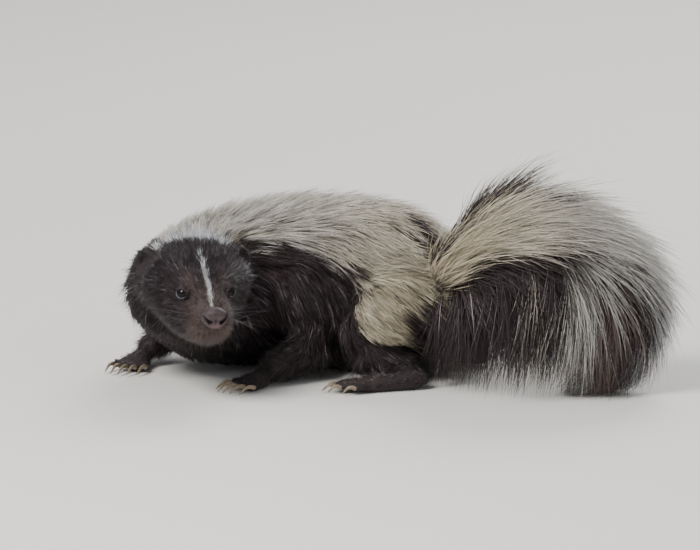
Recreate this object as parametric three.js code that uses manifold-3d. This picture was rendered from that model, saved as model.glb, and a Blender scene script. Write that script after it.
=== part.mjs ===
// Striped skunk, Mephitis mephitis: a small adult at life size, made as a still
// museum model. It crouches on its belly, curled to its left, with the head
// turned round to look ahead and the bushy tail arched out beside it.
// Millimetres, +Z up. The face looks along -Y and the tail lies towards +X.

import * as THREE from "three";
import { mergeVertices } from "three/addons/utils/BufferGeometryUtils.js";
import Module from "manifold-3d";

const wasm = await Module();
wasm.setup();

// Driving dimensions
const PART_GAP = 0.3; // between neighbouring pieces
const MOUTH_GAP = 0.5; // the closed mouth's line
const WELD = 0.002; // points nearer than this are one point
const FLOOR_CLEAR = 0.8; // lowest point of any hair above the floor
const HEAD_PLACE = [-84.9, 10, 64.2]; // middle of the skull, between the ears
const HEAD_YAW = 12.5; // degrees the face is turned towards +X
const HEAD_ROLL = -0.5; // degrees the left eye is raised
const EYE_RADIUS = 5;
const BACK_HAIR = 36; // length of the locks on the back
const NAPE_HAIR = 20;
const RUMP_HAIR = 44;
const TAIL_HAIR = 62;
const LOCK_WIDTH = 11;
const LOCK_THICKNESS = 5;
const SEED = 20261125;

// Stations are [x, y, z, half-width, half-height], from head to tail.
const TRUNK = [
  [-84, 13, 60, 22, 19],
  [-86, 30, 55, 31, 27],
  [-84, 50, 49, 37, 35],
  [-71, 74, 44, 40, 40],
  [-46, 92, 42, 40, 43],
  [-16, 97, 41, 41, 44.5],
  [13, 84, 40, 41, 43.5],
  [31, 61, 37.5, 35, 37],
  [46, 38, 41, 24, 23],
  [53, 24, 46, 12, 12],
];
// Along the tail the two sizes are half the height and half the depth.
const TAIL = [
  [51, 36, 53, 11, 11],
  [55, 17, 66, 13, 13],
  [73, 5, 80, 15, 14],
  [98, 0, 86, 16, 14],
  [124, -1, 80, 14, 13],
  [144, 1, 63, 11, 10],
  [152, 4, 43, 8, 8],
  [150, 5, 27, 6.5, 6.5],
  [141, 6, 15, 5, 5],
  [128, 6, 9.5, 3.5, 3.5],
];
// The head's own axes: x forwards, y to its left, z up.
const HEAD = [
  [-26, 0, -4, 24, 19],
  [-12, 0, -5, 29.5, 23.5],
  [0, 0, -6, 31.5, 25],
  [12, 0, -7.5, 30.5, 24.5],
  [22, 0, -10, 25.5, 22.5],
  [31, 0, -12, 19, 19.2],
  [40, 0, -13.4, 14, 15.4],
  [49, 0, -13.7, 11.8, 11.8],
  [57, 0, -13.5, 9, 8.8],
];
const EYE = { place: [32, 11.4, -3.2], looks: [0.82, 0.55, 0.16] };
const EAR = { place: [0, 25.2, 6.5], faces: [0.76, 0.65, -0.02] };
const NOSE = { place: [57.4, 0, -12.2], size: [4.6, 7.3, 5.7] };
const MOUTH = [
  [66, -19.6],
  [56, -19.6],
  [47, -20.6],
  [38, -19.2],
  [34, -21],
  [31, -40],
];

const UP = new THREE.Vector3(0, 0, 1);
const vec = (x, y, z) => new THREE.Vector3(x, y, z);
const mix = THREE.MathUtils.lerp;
const radians = THREE.MathUtils.degToRad;

// A seeded random number from 0 to 1, the same at every run.
let seed = SEED;
function random() {
  seed = (seed + 0x6d2b79f5) | 0;
  let bits = Math.imul(seed ^ (seed >>> 15), 1 | seed);
  bits = (bits + Math.imul(bits ^ (bits >>> 7), 61 | bits)) ^ bits;
  return ((bits ^ (bits >>> 14)) >>> 0) / 4294967296;
}
const vary = (share) => 1 + share * (2 * random() - 1);

function solidOf(geometry) {
  const bare = geometry.clone();
  bare.deleteAttribute("normal");
  bare.deleteAttribute("uv");
  const merged = mergeVertices(bare, WELD);
  return new wasm.Manifold(
    new wasm.Mesh({
      numProp: 3,
      vertProperties: merged.attributes.position.array,
      triVerts: new Uint32Array(merged.index.array),
    }),
  );
}
const joined = (solids) => wasm.Manifold.union(solids);

function geometryOf(solid) {
  const mesh = solid.getMesh();
  const geometry = new THREE.BufferGeometry();
  geometry.setAttribute("position", new THREE.BufferAttribute(mesh.vertProperties, 3));
  geometry.setIndex(new THREE.BufferAttribute(mesh.triVerts, 1));
  return geometry;
}

// A unit sphere whose rings are carried to new places: `place(share, x, z)` gets the
// ring's share of the way from pole to pole and the direction round it.
function bentSphere(sides, rings, place) {
  const sphere = new THREE.SphereGeometry(1, sides, rings);
  const points = sphere.attributes.position;
  for (let i = 0; i < points.count; i++) {
    const share = Math.acos(THREE.MathUtils.clamp(points.getY(i), -1, 1)) / Math.PI;
    const reach = Math.hypot(points.getX(i), points.getZ(i));
    const pole = reach < 1e-6;
    const x = pole ? 0 : points.getX(i) / reach;
    const z = pole ? 0 : points.getZ(i) / reach;
    const p = place(Math.round(share * rings) / rings, x, z);
    points.setXYZ(i, p.x, p.y, p.z);
  }
  return sphere;
}

// A body or limb: oval sections along a smooth line through its stations, with round ends.
function bodyOf(stations, { up = UP, blunt = 0.1, square = () => 1, relief = () => 0 } = {}) {
  const line = new THREE.CatmullRomCurve3(stations.map(([x, y, z]) => vec(x, y, z)));
  const girth = new THREE.CatmullRomCurve3(stations.map(([, , , w, h]) => vec(w, h, 0)));
  line.curveType = girth.curveType = "catmullrom";
  line.tension = girth.tension = 0.5;
  const length = line.getLength();

  function frame(share) {
    const t = line.getUtoTmapping(THREE.MathUtils.clamp(share, 0, 1));
    const along = line.getTangent(t);
    const side = up.clone().cross(along).normalize();
    const size = girth.getPoint(t);
    const end = Math.max(0, 1 - share / blunt, 1 - (1 - share) / blunt);
    return {
      centre: line.getPoint(t),
      along,
      side,
      rise: along.clone().cross(side),
      wide: size.x,
      high: size.y,
      cap: Math.sqrt(Math.max(0, 1 - end * end)),
      tip: share < 0.5 ? -end : end,
    };
  }
  // The point at an angle round the section, `height` above the surface.
  function point(share, angle, height = 0) {
    const f = frame(share);
    const power = square(share, Math.sin(angle) > 0);
    const c = Math.sign(Math.cos(angle)) * Math.abs(Math.cos(angle)) ** power;
    const s = Math.sign(Math.sin(angle)) * Math.abs(Math.sin(angle)) ** power;
    const p = f.centre
      .clone()
      .addScaledVector(f.side, c * (f.wide + height) * f.cap)
      .addScaledVector(f.rise, s * (f.high + height) * f.cap)
      .addScaledVector(f.along, height * f.tip);
    const out = f.side.clone().multiplyScalar(c).addScaledVector(f.rise, s);
    return p.addScaledVector(out, relief(p) * f.cap);
  }
  function solid(sides, rings, grow = 0) {
    return solidOf(
      bentSphere(sides, rings, (share, x, z) => point(share, Math.atan2(z, x), grow)),
    );
  }
  return { frame, point, solid, length };
}

// One flat, tapered lock of hair with a low ridge on its outer face. `path(s)` gives its
// middle line and `out` the way its face looks.
function lockOf(path, out, width, thickness, rings = 5) {
  const step = 0.04;
  return solidOf(
    bentSphere(3, rings, (s, x, z) => {
      const p = path(s);
      const along = path(Math.min(1, s + step)).sub(path(Math.max(0, s - step)));
      const across = along.cross(out).normalize();
      const full = s < 0.3 ? Math.sqrt(s / 0.3) : 1 - ((s - 0.3) / 0.7) ** 2;
      return p
        .addScaledVector(across, -z * (width / 2) * 1.15 * full)
        .addScaledVector(out, -x * (thickness / 2) * full);
    }),
  );
}

// A lock that lies on a body: it leaves its sunk root and follows the surface, the less so
// the stiffer it is, and slants by `slant` towards the belly.
function lyingLock(body, lock) {
  const { share, angle, length, width, lift, slant, stiff } = lock;
  const { sink = 3.4, thickness = LOCK_THICKNESS, rings = 5 } = lock;
  const start = body.frame(share);
  const girth = (start.wide + start.high) / 2;
  const down = Math.cos(angle) > 0 ? -1 : 1;
  const follow = (s) =>
    body.point(
      share + (length * s * Math.cos(slant)) / body.length,
      angle + (down * length * s * Math.sin(slant)) / girth,
      mix(-sink, lift, s ** 0.8),
    );
  const rooted = follow(0);
  const away = follow(0.25).sub(rooted).multiplyScalar(4);
  const out = start.side
    .clone()
    .multiplyScalar(Math.cos(angle))
    .addScaledVector(start.rise, Math.sin(angle));
  const path = (s) => {
    const p = follow(s).lerp(rooted.clone().addScaledVector(away, s), stiff);
    p.z = Math.max(p.z, FLOOR_CLEAR + thickness / 2);
    return p;
  };
  return lockOf(path, out, width, thickness, rings);
}

// Trunk, with neck: the flesh, then the coat in staggered rows from nape to rump
const trunk = bodyOf(TRUNK);
function trunkCoat(grow = 0) {
  const locks = [];
  const rows = 8;
  const columns = 9;
  seed = SEED;
  for (let row = 0; row < rows; row++) {
    const share = mix(0.17, 0.87, row / (rows - 1));
    for (let column = 0; column < columns; column++) {
      const place = (column + (row % 2) / 2) / (columns - 0.5);
      const angle = radians(mix(-30, 210, place) + 5 * (random() - 0.5));
      const flank = Math.abs(Math.cos(angle));
      const inner = Math.max(0, -Math.cos(angle));
      const back = share < 0.3 ? NAPE_HAIR : share > 0.7 ? RUMP_HAIR : BACK_HAIR;
      locks.push(
        lyingLock(trunk, {
          share: share + 0.02 * (random() - 0.5),
          angle,
          length: mix(back, back * 0.9, flank) * vary(0.1),
          width: LOCK_WIDTH * 1.65 * vary(0.12) + 2 * grow,
          thickness: LOCK_THICKNESS + 2 * grow,
          lift: mix(9.5, share > 0.5 ? 10 : 8, flank) * vary(0.2),
          slant: radians(mix(4, 32, flank)),
          stiff: 0.25 * (1 - inner),
          rings: 4,
        }),
      );
    }
  }
  // The rear hangs over the thighs, round the tail's root
  for (let i = 0; i < 9; i++) {
    locks.push(
      lyingLock(trunk, {
        share: i % 2 ? 0.86 : 0.93,
        angle: radians(mix(-20, 205, i / 8)),
        length: 34 * vary(0.1),
        width: LOCK_WIDTH * 1.5 + 2 * grow,
        thickness: LOCK_THICKNESS + 2 * grow,
        lift: 8,
        slant: radians(68),
        stiff: 0.3,
        rings: 4,
      }),
    );
  }
  return locks;
}

// Head: brows, eye hollows, whisker pads and drawn-in cheeks are formed in the one surface
const BUMPS = [
  { at: [35, 14, -3], radius: 6.5, height: -1.8 },
  { at: [28, 11.5, 6], radius: 6.5, height: 1 },
  { at: [50, 8, -16], radius: 6, height: 1.5 },
  { at: [6, 27, -18], radius: 15, height: -5 },
];
function headRelief(p) {
  let height = 0;
  for (const bump of BUMPS) {
    for (const side of [1, -1]) {
      const [x, y, z] = bump.at;
      const far = Math.hypot(p.x - x, p.y - y * side, p.z - z) / bump.radius;
      height += bump.height * Math.exp(-far * far);
    }
  }
  return height;
}
// Behind the eyes a section is broad and flat above and drawn in below; the muzzle's is round
function headSquare(share, above) {
  const drawnIn = mix(1.16, 0.96, THREE.MathUtils.smoothstep(share, 0.45, 0.9));
  return above ? mix(0.86, drawnIn, THREE.MathUtils.smoothstep(share, 0.4, 0.62)) : drawnIn;
}
const head = bodyOf(HEAD, { blunt: 0.16, square: headSquare, relief: headRelief });
const headPose = new THREE.Matrix4()
  .makeTranslation(...HEAD_PLACE)
  .multiply(new THREE.Matrix4().makeRotationZ(radians(HEAD_YAW - 90)))
  .multiply(new THREE.Matrix4().makeRotationX(radians(HEAD_ROLL)));
const onHead = (solid) => solid.transform(headPose.elements);

function ellipsoid(place, size, turn = new THREE.Quaternion(), sides = 12, rings = 10) {
  const shape = new THREE.SphereGeometry(1, sides, rings);
  const matrix = new THREE.Matrix4().compose(vec(...place), turn, vec(...size));
  return solidOf(shape.applyMatrix4(matrix));
}
const facing = (direction) =>
  new THREE.Quaternion().setFromUnitVectors(vec(1, 0, 0), vec(...direction).normalize());
const mirrored = ([x, y, z], side) => [x, y * side, z];

// A rounded rim at the eye's opening, which the eyeball's socket then trims to two lids
function lidsOf(side) {
  const looks = vec(...mirrored(EYE.looks, side)).normalize();
  const ring = new THREE.TorusGeometry(EYE_RADIUS * 0.87, 1.2, 5, 14);
  ring.rotateY(Math.PI / 2);
  ring.scale(1, 1.06, 0.86);
  const place = vec(...mirrored(EYE.place, side)).addScaledVector(looks, 3.1);
  ring.applyMatrix4(new THREE.Matrix4().compose(place, facing(looks.toArray()), vec(1, 1, 1)));
  return solidOf(ring);
}

// The lips: a soft roll along the mouth, which the mouth's cut parts into upper and lower
function lipRoll() {
  const corner = 38;
  const front = 58.2;
  const stations = [];
  const steps = 5;
  for (let i = -steps; i <= steps; i++) {
    const x = front - (front - corner) * (Math.abs(i) / steps) ** 1.8;
    const f = head.frame((x - HEAD[0][0]) / (front + 0.6 - HEAD[0][0]));
    const z = -19.7;
    const reach = Math.sqrt(Math.max(0, 1 - ((z - f.centre.z) / f.high) ** 2));
    stations.push([x, Math.sign(i) * f.wide * f.cap * reach * 0.93, z, 1.3, 1.5]);
  }
  return bodyOf(stations).solid(5, 14);
}

function noseOf(grow = 0) {
  const pad = ellipsoid(NOSE.place, NOSE.size.map((s) => s + grow), undefined, 13, 9);
  if (grow) return pad;
  const [x, , z] = NOSE.place;
  const holes = [1, -1].map((side) => {
    const turn = new THREE.Quaternion().setFromEuler(new THREE.Euler(0.5 * side, 0, 0.5 * side));
    return ellipsoid([x + 4.2, 3.7 * side, z - 0.6], [2.6, 1.5, 1.1], turn, 8, 6);
  });
  const groove = new THREE.CylinderGeometry(0.45, 0.45, 9, 6).rotateX(Math.PI / 2);
  groove.translate(x + 4.9, 0, z - 5);
  return pad.subtract(joined([...holes, solidOf(groove)]));
}

// An ear: a low rounded cup, open to the front and outwards
function earOf(side) {
  const turn = facing(mirrored(EAR.faces, side));
  const faces = vec(...mirrored(EAR.faces, side)).normalize();
  const place = vec(...mirrored(EAR.place, side));
  const hollow = place.clone().addScaledVector(faces, 5.6).add(vec(0, 0, 0.4));
  const shell = ellipsoid(place.toArray(), [6.6, 8.2, 10.3], turn, 12, 9);
  const cup = ellipsoid(hollow.toArray(), [6, 6, 7.7], turn, 12, 8);
  return shell.subtract(cup);
}

function slabAlong(points, thickness, from, to) {
  const outline = new THREE.Shape();
  const half = thickness / 2;
  const sides = [1, -1].map((way) =>
    points.map(([x, z], i) => {
      const [ax, az] = points[Math.max(0, i - 1)];
      const [bx, bz] = points[Math.min(points.length - 1, i + 1)];
      const long = Math.hypot(bx - ax, bz - az);
      return [x - (way * half * (bz - az)) / long, z + (way * half * (bx - ax)) / long];
    }),
  );
  [...sides[0], ...sides[1].reverse()].forEach(([x, z], i) =>
    i ? outline.lineTo(x, z) : outline.moveTo(x, z),
  );
  const slab = new THREE.ExtrudeGeometry(outline, { depth: to - from, bevelEnabled: false });
  slab.rotateX(Math.PI / 2);
  slab.translate(0, to, 0);
  return solidOf(slab);
}
const mouthCut = () => onHead(slabAlong(MOUTH, MOUTH_GAP, -40, 40));

// A thin round cut square to a body's line
function partingDisc(body, share, radius) {
  const f = body.frame(share);
  const disc = new THREE.CylinderGeometry(radius, radius, PART_GAP, 40);
  const turn = new THREE.Quaternion().setFromUnitVectors(vec(0, 1, 0), f.along);
  disc.applyMatrix4(new THREE.Matrix4().compose(f.centre, turn, vec(1, 1, 1)));
  return solidOf(disc);
}

// Legs: stations from the trunk outwards, then the paw's heel and toes. `outside` is the
// angle round the upper leg at which its shaggy hair is centred.
const LEGS = {
  foreleg_left: {
    outside: 270,
    upper: [
      [-38, 71, 58, 14, 16],
      [-29, 59, 46, 18, 20],
      [-21, 50, 31, 15, 16],
      [-19, 46, 20, 11, 12],
    ],
    lower: [
      [-18, 46, 20, 11, 12],
      [-30, 35, 14, 10, 10],
      [-42, 25, 10, 8.5, 8],
      [-48, 20, 8, 8, 7],
    ],
    paw: { heel: [-46, 21, 5], toes: [-61, 8, 4], width: 9, claw: 9 },
  },
  foreleg_right: {
    outside: 45,
    upper: [
      [-76, 100, 56, 13, 15],
      [-88, 107, 42, 15, 17],
      [-92, 108, 28, 13, 15],
      [-93, 106, 18, 11, 12],
    ],
    lower: [
      [-93, 106, 19, 11, 12],
      [-102, 94, 14, 10, 10],
      [-110, 82, 10, 8.5, 8],
      [-114, 76, 8, 8, 7],
    ],
    paw: { heel: [-113, 78, 5], toes: [-122, 60, 4], width: 9, claw: 9 },
  },
  hindleg_left: {
    outside: 300,
    upper: [
      [34, 50, 50, 16, 18],
      [24, 40, 40, 20, 22],
      [12, 33, 28, 16, 18],
      [6, 30, 20, 12, 13],
    ],
    lower: [
      [6, 30, 21, 11, 12],
      [16, 26, 15, 10, 10],
      [30, 21, 9, 8, 8],
      [38, 18, 7, 7, 7],
    ],
    paw: { heel: [39, 17, 6], toes: [-10, 7, 4], width: 8.5, claw: 5 },
  },
  hindleg_right: {
    outside: 135,
    upper: [
      [50, 64, 48, 16, 18],
      [54, 82, 38, 20, 22],
      [47, 100, 28, 16, 18],
      [42, 108, 20, 12, 13],
    ],
    lower: [
      [43, 107, 21, 11, 12],
      [52, 101, 15, 10, 10],
      [66, 88, 9, 8, 8],
      [72, 80, 7, 7, 7],
    ],
    paw: { heel: [73, 79, 6], toes: [38, 122, 4], width: 8.5, claw: 5 },
  },
};

// Locks that hang down the outside of the upper leg
function legLocks(upper, outside, grow) {
  const locks = [];
  for (let row = 0; row < 2; row++) {
    for (let column = 0; column < 3; column++) {
      const turn = 55 * (column - 1) + 20 * row;
      locks.push(
        lyingLock(upper, {
          share: 0.12 + 0.26 * row,
          angle: radians(outside + turn),
          length: 30,
          width: LOCK_WIDTH * 1.4 + 2 * grow,
          thickness: LOCK_THICKNESS + 2 * grow,
          lift: 4.5,
          slant: 0,
          stiff: 0.1,
          rings: 4,
        }),
      );
    }
  }
  return locks;
}

// A paw flat on the floor: palm, then five toes with claws, fanned a little
function pawOf({ heel, toes, width, claw }, grow = 0) {
  const from = vec(...heel);
  const to = vec(...toes);
  const along = to.clone().sub(from);
  const length = along.length();
  along.normalize();
  const across = UP.clone().cross(along);
  const at = (share, side, z) =>
    from.clone().addScaledVector(along, share * length).addScaledVector(across, side).setZ(z);
  const row = (p, w, h) => [p.x, p.y, p.z, w, h];
  const palm = bodyOf([
    row(at(-0.12, 0, 6.5), width * 0.6, 6),
    row(at(0.3, 0, 5), width * 0.8, 5.6),
    row(at(0.62, 0, 4), width, 5),
    row(at(0.82, 0, 3), width * 0.8, 4),
  ]);
  const pieces = [palm.solid(9, 5, grow)];
  for (let toe = -2; toe <= 2; toe++) {
    const side = toe * width * 0.46;
    const reach = 1 - 0.05 * toe * toe;
    const toePath = [
      row(at(0.62, side * 0.9, 4), 2.2, 2.6),
      row(at(reach * 0.85 + 0.06, side * 1.1, 4.2), 2.2, 2.7),
      row(at(reach * 0.98 + 0.04, side * 1.2, 2.6), 1.9, 2.2),
    ];
    const root = at(reach * 0.95, side * 1.18, 3.2);
    const tip = root.clone().addScaledVector(along, claw + 3).setZ(1);
    const clawPath = (s) => {
      const p = root.clone().lerp(tip, s);
      p.z += 2.4 * Math.sin(Math.PI * s);
      return p;
    };
    pieces.push(bodyOf(toePath, { blunt: 0.3 }).solid(5, 4, grow));
    pieces.push(lockOf(clawPath, UP, 2 + 2 * grow, 2.2 + 2 * grow, 3));
  }
  return joined(pieces);
}

// Tail: a slim core, with long locks that stream along it, stand up on top and hang below.
// Round its section 0 degrees looks down, 90 away, 180 up and 270 towards -Y.
const TAIL_UP = vec(0, 1, 0);
const tail = bodyOf(TAIL, { up: TAIL_UP, blunt: 0.06 });
function tailCoat() {
  const locks = [];
  const rows = 8;
  for (let row = 0; row < rows; row++) {
    const share = mix(0.1, 0.82, row / (rows - 1));
    const arch = share > 0.2 && share < 0.6;
    const columns = share > 0.6 ? 4 : 7;
    for (let column = 0; column < columns; column++) {
      const degrees = (360 * (column + (row % 2) / 2)) / columns + 8 * (random() - 0.5);
      const angle = radians(degrees);
      const above = Math.max(0, -Math.cos(angle));
      if (arch && Math.cos(angle) > 0.6) continue;
      locks.push(
        lyingLock(tail, {
          share: share + 0.02 * (random() - 0.5),
          angle,
          length: TAIL_HAIR * mix(1, 0.5, share) * vary(0.1),
          width: LOCK_WIDTH * mix(1.35, 0.95, share) * vary(0.12),
          lift: mix(12, 20, above) * mix(1, 0.5, share) * vary(0.2),
          slant: 0,
          stiff: mix(0.1, 0.3, above),
        }),
      );
    }
  }
  return locks;
}

// A fan of long hair raised over the tail's root
function tailFan() {
  return [0.12, 0.18, 0.24, 0.3].map((share, i) =>
    lyingLock(tail, {
      share,
      angle: radians(180 + 26 * ((i % 2) - 0.5)),
      length: TAIL_HAIR * 0.95,
      width: LOCK_WIDTH * 1.2,
      lift: 28 - i,
      slant: 0,
      stiff: 0.35,
    }),
  );
}

// The curtain of hair under the arch: two staggered rows that fall to the floor
function tailCurtain() {
  const locks = [];
  const count = 6;
  for (let row = 0; row < 2; row++) {
    for (let i = 0; i < count; i++) {
      const share = mix(0.22, 0.68, (i + row / 2) / (count - 0.5));
      const top = tail.point(share, radians(row ? 40 : -40), -4);
      const lean = mix(2, 16, random());
      const end = mix(2, 9, random());
      const path = (s) => {
        const p = top.clone();
        p.x += lean * s;
        p.z = mix(top.z, end + FLOOR_CLEAR, s);
        return p;
      };
      locks.push(lockOf(path, vec(0, -1, 0), LOCK_WIDTH * 1.25, LOCK_THICKNESS));
    }
  }
  return locks;
}

// Assembly: whole bodies first, then parted by thin cuts
const biggest = (solid) =>
  solid.decompose().reduce((best, piece) => (piece.volume() > best.volume() ? piece : best));
// The one closed surface left once points that all but touch are one point
const tidied = (solid) => biggest(solidOf(geometryOf(solid)));
// Of the pieces, the one with most of its solid round a place
function pieceAt(pieces, place) {
  const spot = ellipsoid(place, [4, 4, 4], undefined, 8, 6);
  const shares = pieces.map((piece) => piece.intersect(spot).volume());
  return pieces[shares.indexOf(Math.max(...shares))];
}

const legSolids = {};
for (const [name, leg] of Object.entries(LEGS)) {
  const upper = bodyOf(leg.upper, { up: TAIL_UP, blunt: 0.25 });
  const lower = bodyOf(leg.lower, { blunt: 0.2 });
  legSolids[name] = (grow) => [
    joined([upper.solid(10, 7, grow), ...legLocks(upper, leg.outside, grow)]),
    lower.solid(10, 6, grow),
    pawOf(leg.paw, grow),
  ];
}

const floorBlock = new THREE.BoxGeometry(600, 600, 60).translate(0, 60, -30);
const floor = solidOf(floorBlock);

const headSolid = onHead(
  joined([head.solid(22, 18), lidsOf(1), lidsOf(-1), lipRoll()]),
);
const eyes = [1, -1].map((side) => (grow) => {
  const radius = EYE_RADIUS + grow;
  return onHead(ellipsoid(mirrored(EYE.place, side), [radius, radius, radius], undefined, 12, 8));
});
const trunkFlesh = trunk.solid(18, 16);
const grownFlesh = trunk.solid(18, 16, PART_GAP);
const grownHead = onHead(head.solid(22, 18, PART_GAP));
const limbs = Object.values(legSolids).flatMap((leg) => leg(2 * PART_GAP));
// Locks that would be mostly inside a leg or the head are left out, the rest cut clear.
const inCoatsWay = joined([...limbs, grownHead]);
const coat = joined(
  trunkCoat()
    .map((lock) => [lock.subtract(inCoatsWay), lock.volume()])
    .filter(([left, all]) => left.volume() > all * 0.68)
    .map(([left]) => left),
);
const whole = joined([trunkFlesh, coat, headSolid])
  .subtract(joined(eyes.map((eye) => eye(PART_GAP))))
  .subtract(onHead(noseOf(PART_GAP)))
  .subtract(mouthCut())
  .subtract(floor);
const cuts = [0.135, 0.39, 0.68].map((share, i) => partingDisc(trunk, share, i ? 75 : 48));
const bodyPieces = whole.subtract(joined(cuts)).decompose();

const solids = {
  head: pieceAt(bodyPieces, HEAD_PLACE),
  jaw: pieceAt(bodyPieces, vec(48, 0, -26).applyMatrix4(headPose).toArray()),
  neck: pieceAt(bodyPieces, TRUNK[2].slice(0, 3)),
  chest: pieceAt(bodyPieces, TRUNK[4].slice(0, 3)),
  haunches: pieceAt(bodyPieces, TRUNK[7].slice(0, 3)),
  nose: onHead(noseOf()),
  eye_left: eyes[0](0),
  eye_right: eyes[1](0),
};
for (const [name, side] of [["ear_left", 1], ["ear_right", -1]]) {
  solids[name] = biggest(onHead(earOf(side)).subtract(joined([grownHead, coat])));
}

const grownTrunk = joined([grownFlesh, coat]);
const inTheWay = [grownFlesh, coat];
for (const [name, leg] of Object.entries(legSolids)) {
  const place = name.replace("leg", "");
  const names = [name + "_upper", name + "_lower", "paw_" + place];
  const grown = leg(PART_GAP);
  leg(0).forEach((piece, i) => {
    solids[names[i]] = biggest(piece.subtract(joined(inTheWay)).subtract(floor));
    inTheWay.push(grown[i]);
  });
}

// The tail is parted where it rises from the rump and where its arch turns down
const TAIL_CUTS = [
  [[100, 150], [57, 86], [73, 60], [66, -5]],
  [[200, 104], [131, 94], [118, 66], [112, -5]],
];
const tailWhole = joined([tail.solid(10, 18), ...tailCoat(), ...tailFan(), ...tailCurtain()])
  .subtract(joined([grownTrunk, ...limbs]))
  .subtract(floor);
const tailSlabs = TAIL_CUTS.map((line) => slabAlong(line, PART_GAP, -90, 110));
const tailPieces = tailWhole.subtract(joined(tailSlabs)).decompose();
solids.tail_base = pieceAt(tailPieces, TAIL[1].slice(0, 3));
solids.tail_middle = pieceAt(tailPieces, TAIL[3].slice(0, 3));
solids.tail_end = pieceAt(tailPieces, TAIL[6].slice(0, 3));

// Materials
const paint = (color, roughness, metalness = 0) =>
  new THREE.MeshStandardMaterial({ color, roughness, metalness });
const blackFur = paint(0x1a1517, 0.75);
const whiteFur = paint(0xd9d3c4, 0.8);
const noseSkin = paint(0x5a3f42, 0.45);
const eyeGloss = paint(0x0b0808, 0.08);
const finishes = {
  neck: whiteFur,
  chest: whiteFur,
  haunches: whiteFur,
  tail_base: whiteFur,
  tail_middle: whiteFur,
  tail_end: whiteFur,
  nose: noseSkin,
  eye_left: eyeGloss,
  eye_right: eyeGloss,
};

const skunk = new THREE.Group();
for (const [name, solid] of Object.entries(solids)) {
  const geometry = geometryOf(tidied(solid));
  geometry.computeVertexNormals();
  const piece = new THREE.Mesh(geometry, finishes[name] ?? blackFur);
  piece.name = name;
  skunk.add(piece);
}

// The origin is on the floor, under the middle of the whole animal.
const box = new THREE.Box3().setFromObject(skunk);
const middle = box.getCenter(vec(0, 0, 0));
skunk.position.set(-middle.x, -middle.y, -box.min.z);

export default skunk;
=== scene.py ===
"""A striped skunk at life size, crouched and curled round to its left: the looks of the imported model."""
import math

import bmesh
import bpy
import numpy as np
from mathutils import Matrix, Vector
from mathutils.bvhtree import BVHTree


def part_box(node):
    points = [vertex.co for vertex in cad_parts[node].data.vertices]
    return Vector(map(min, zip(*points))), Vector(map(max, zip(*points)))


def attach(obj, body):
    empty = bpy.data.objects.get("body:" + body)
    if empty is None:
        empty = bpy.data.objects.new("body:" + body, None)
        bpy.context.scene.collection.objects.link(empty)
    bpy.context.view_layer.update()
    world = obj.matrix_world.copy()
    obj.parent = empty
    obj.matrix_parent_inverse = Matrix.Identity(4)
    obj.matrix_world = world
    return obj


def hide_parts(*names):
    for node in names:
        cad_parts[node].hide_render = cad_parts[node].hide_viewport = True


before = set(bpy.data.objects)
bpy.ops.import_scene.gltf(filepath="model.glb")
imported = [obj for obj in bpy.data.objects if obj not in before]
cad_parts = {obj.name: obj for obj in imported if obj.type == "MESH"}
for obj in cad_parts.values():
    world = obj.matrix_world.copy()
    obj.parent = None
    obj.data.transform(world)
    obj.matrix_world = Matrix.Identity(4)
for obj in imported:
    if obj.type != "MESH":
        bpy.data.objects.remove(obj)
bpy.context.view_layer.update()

# The animal's place on the shelf. Every shape below is worked out in millimetres round a spot
# on the floor before its belly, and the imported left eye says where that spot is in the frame.
HEAD_PLACE = np.array([-84.9, 10.0, 64.2])
HEAD_TURN = np.array(
    Matrix.Rotation(math.radians(12.5 - 90), 3, "Z") @ Matrix.Rotation(math.radians(-0.5), 3, "X")
)
EYE_PLACE = np.array([32.0, 11.4, -3.2])


def from_head(points):
    """Head measures (forwards, to its left, up) to the animal's."""
    return np.asarray(points, float) @ HEAD_TURN.T + HEAD_PLACE


def to_head(points):
    """The animal's measures to the head's."""
    return (np.asarray(points, float) - HEAD_PLACE) @ HEAD_TURN


eye_low, eye_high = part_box("eye_left")
SPOT = np.array(eye_low + eye_high) * 500 - from_head(EYE_PLACE)


def in_frame(points):
    """Millimetres round the spot to metres in the frame."""
    return (np.asarray(points, float) + SPOT) / 1000


# The view: a long lens a little above the floor, square to the body's long side, as the
# photograph has it, over a pale matt floor under soft studio light.
AIM = in_frame([0, 0, 66.5])  # the middle of the picture
CAMERA_RISE = math.radians(11)
CAMERA_FAR = 6.0
FRAME_WIDTH = 0.378  # what the picture spans at the animal, m
camera_data = bpy.data.cameras.new("camera")
camera_data.sensor_width = 36
camera_data.lens = 36 * CAMERA_FAR / FRAME_WIDTH
camera_data.clip_end = 60
camera = bpy.data.objects.new("camera", camera_data)
back = Vector((0, -math.cos(CAMERA_RISE), math.sin(CAMERA_RISE)))
camera.location = Vector(AIM) + back * CAMERA_FAR
camera.rotation_euler = back.to_track_quat("Z", "Y").to_euler()
bpy.context.scene.collection.objects.link(camera)
bpy.context.scene.camera = camera


def softbox(name, place, size, power, tint):
    """A large square lamp at a place, in metres, that faces the animal."""
    data = bpy.data.lights.new(name, "AREA")
    data.shape = "SQUARE"
    data.size = size
    data.energy = power
    data.color = tint
    lamp = bpy.data.objects.new(name, data)
    lamp.location = Vector(AIM) + Vector(place)
    lamp.rotation_euler = Vector(place).to_track_quat("Z", "Y").to_euler()
    lamp.visible_glossy = name != "fill_light"  # one clean gleam in each eye
    bpy.context.scene.collection.objects.link(lamp)


softbox("key_light", (-0.9, -1.1, 1.3), 0.7, 44, (1.0, 0.97, 0.92))
softbox("fill_light", (1.3, -1.2, 0.7), 1.2, 7, (0.92, 0.96, 1.0))
softbox("rim_light", (0.5, 1.2, 1.2), 0.9, 18, (1.0, 0.98, 0.95))

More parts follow.
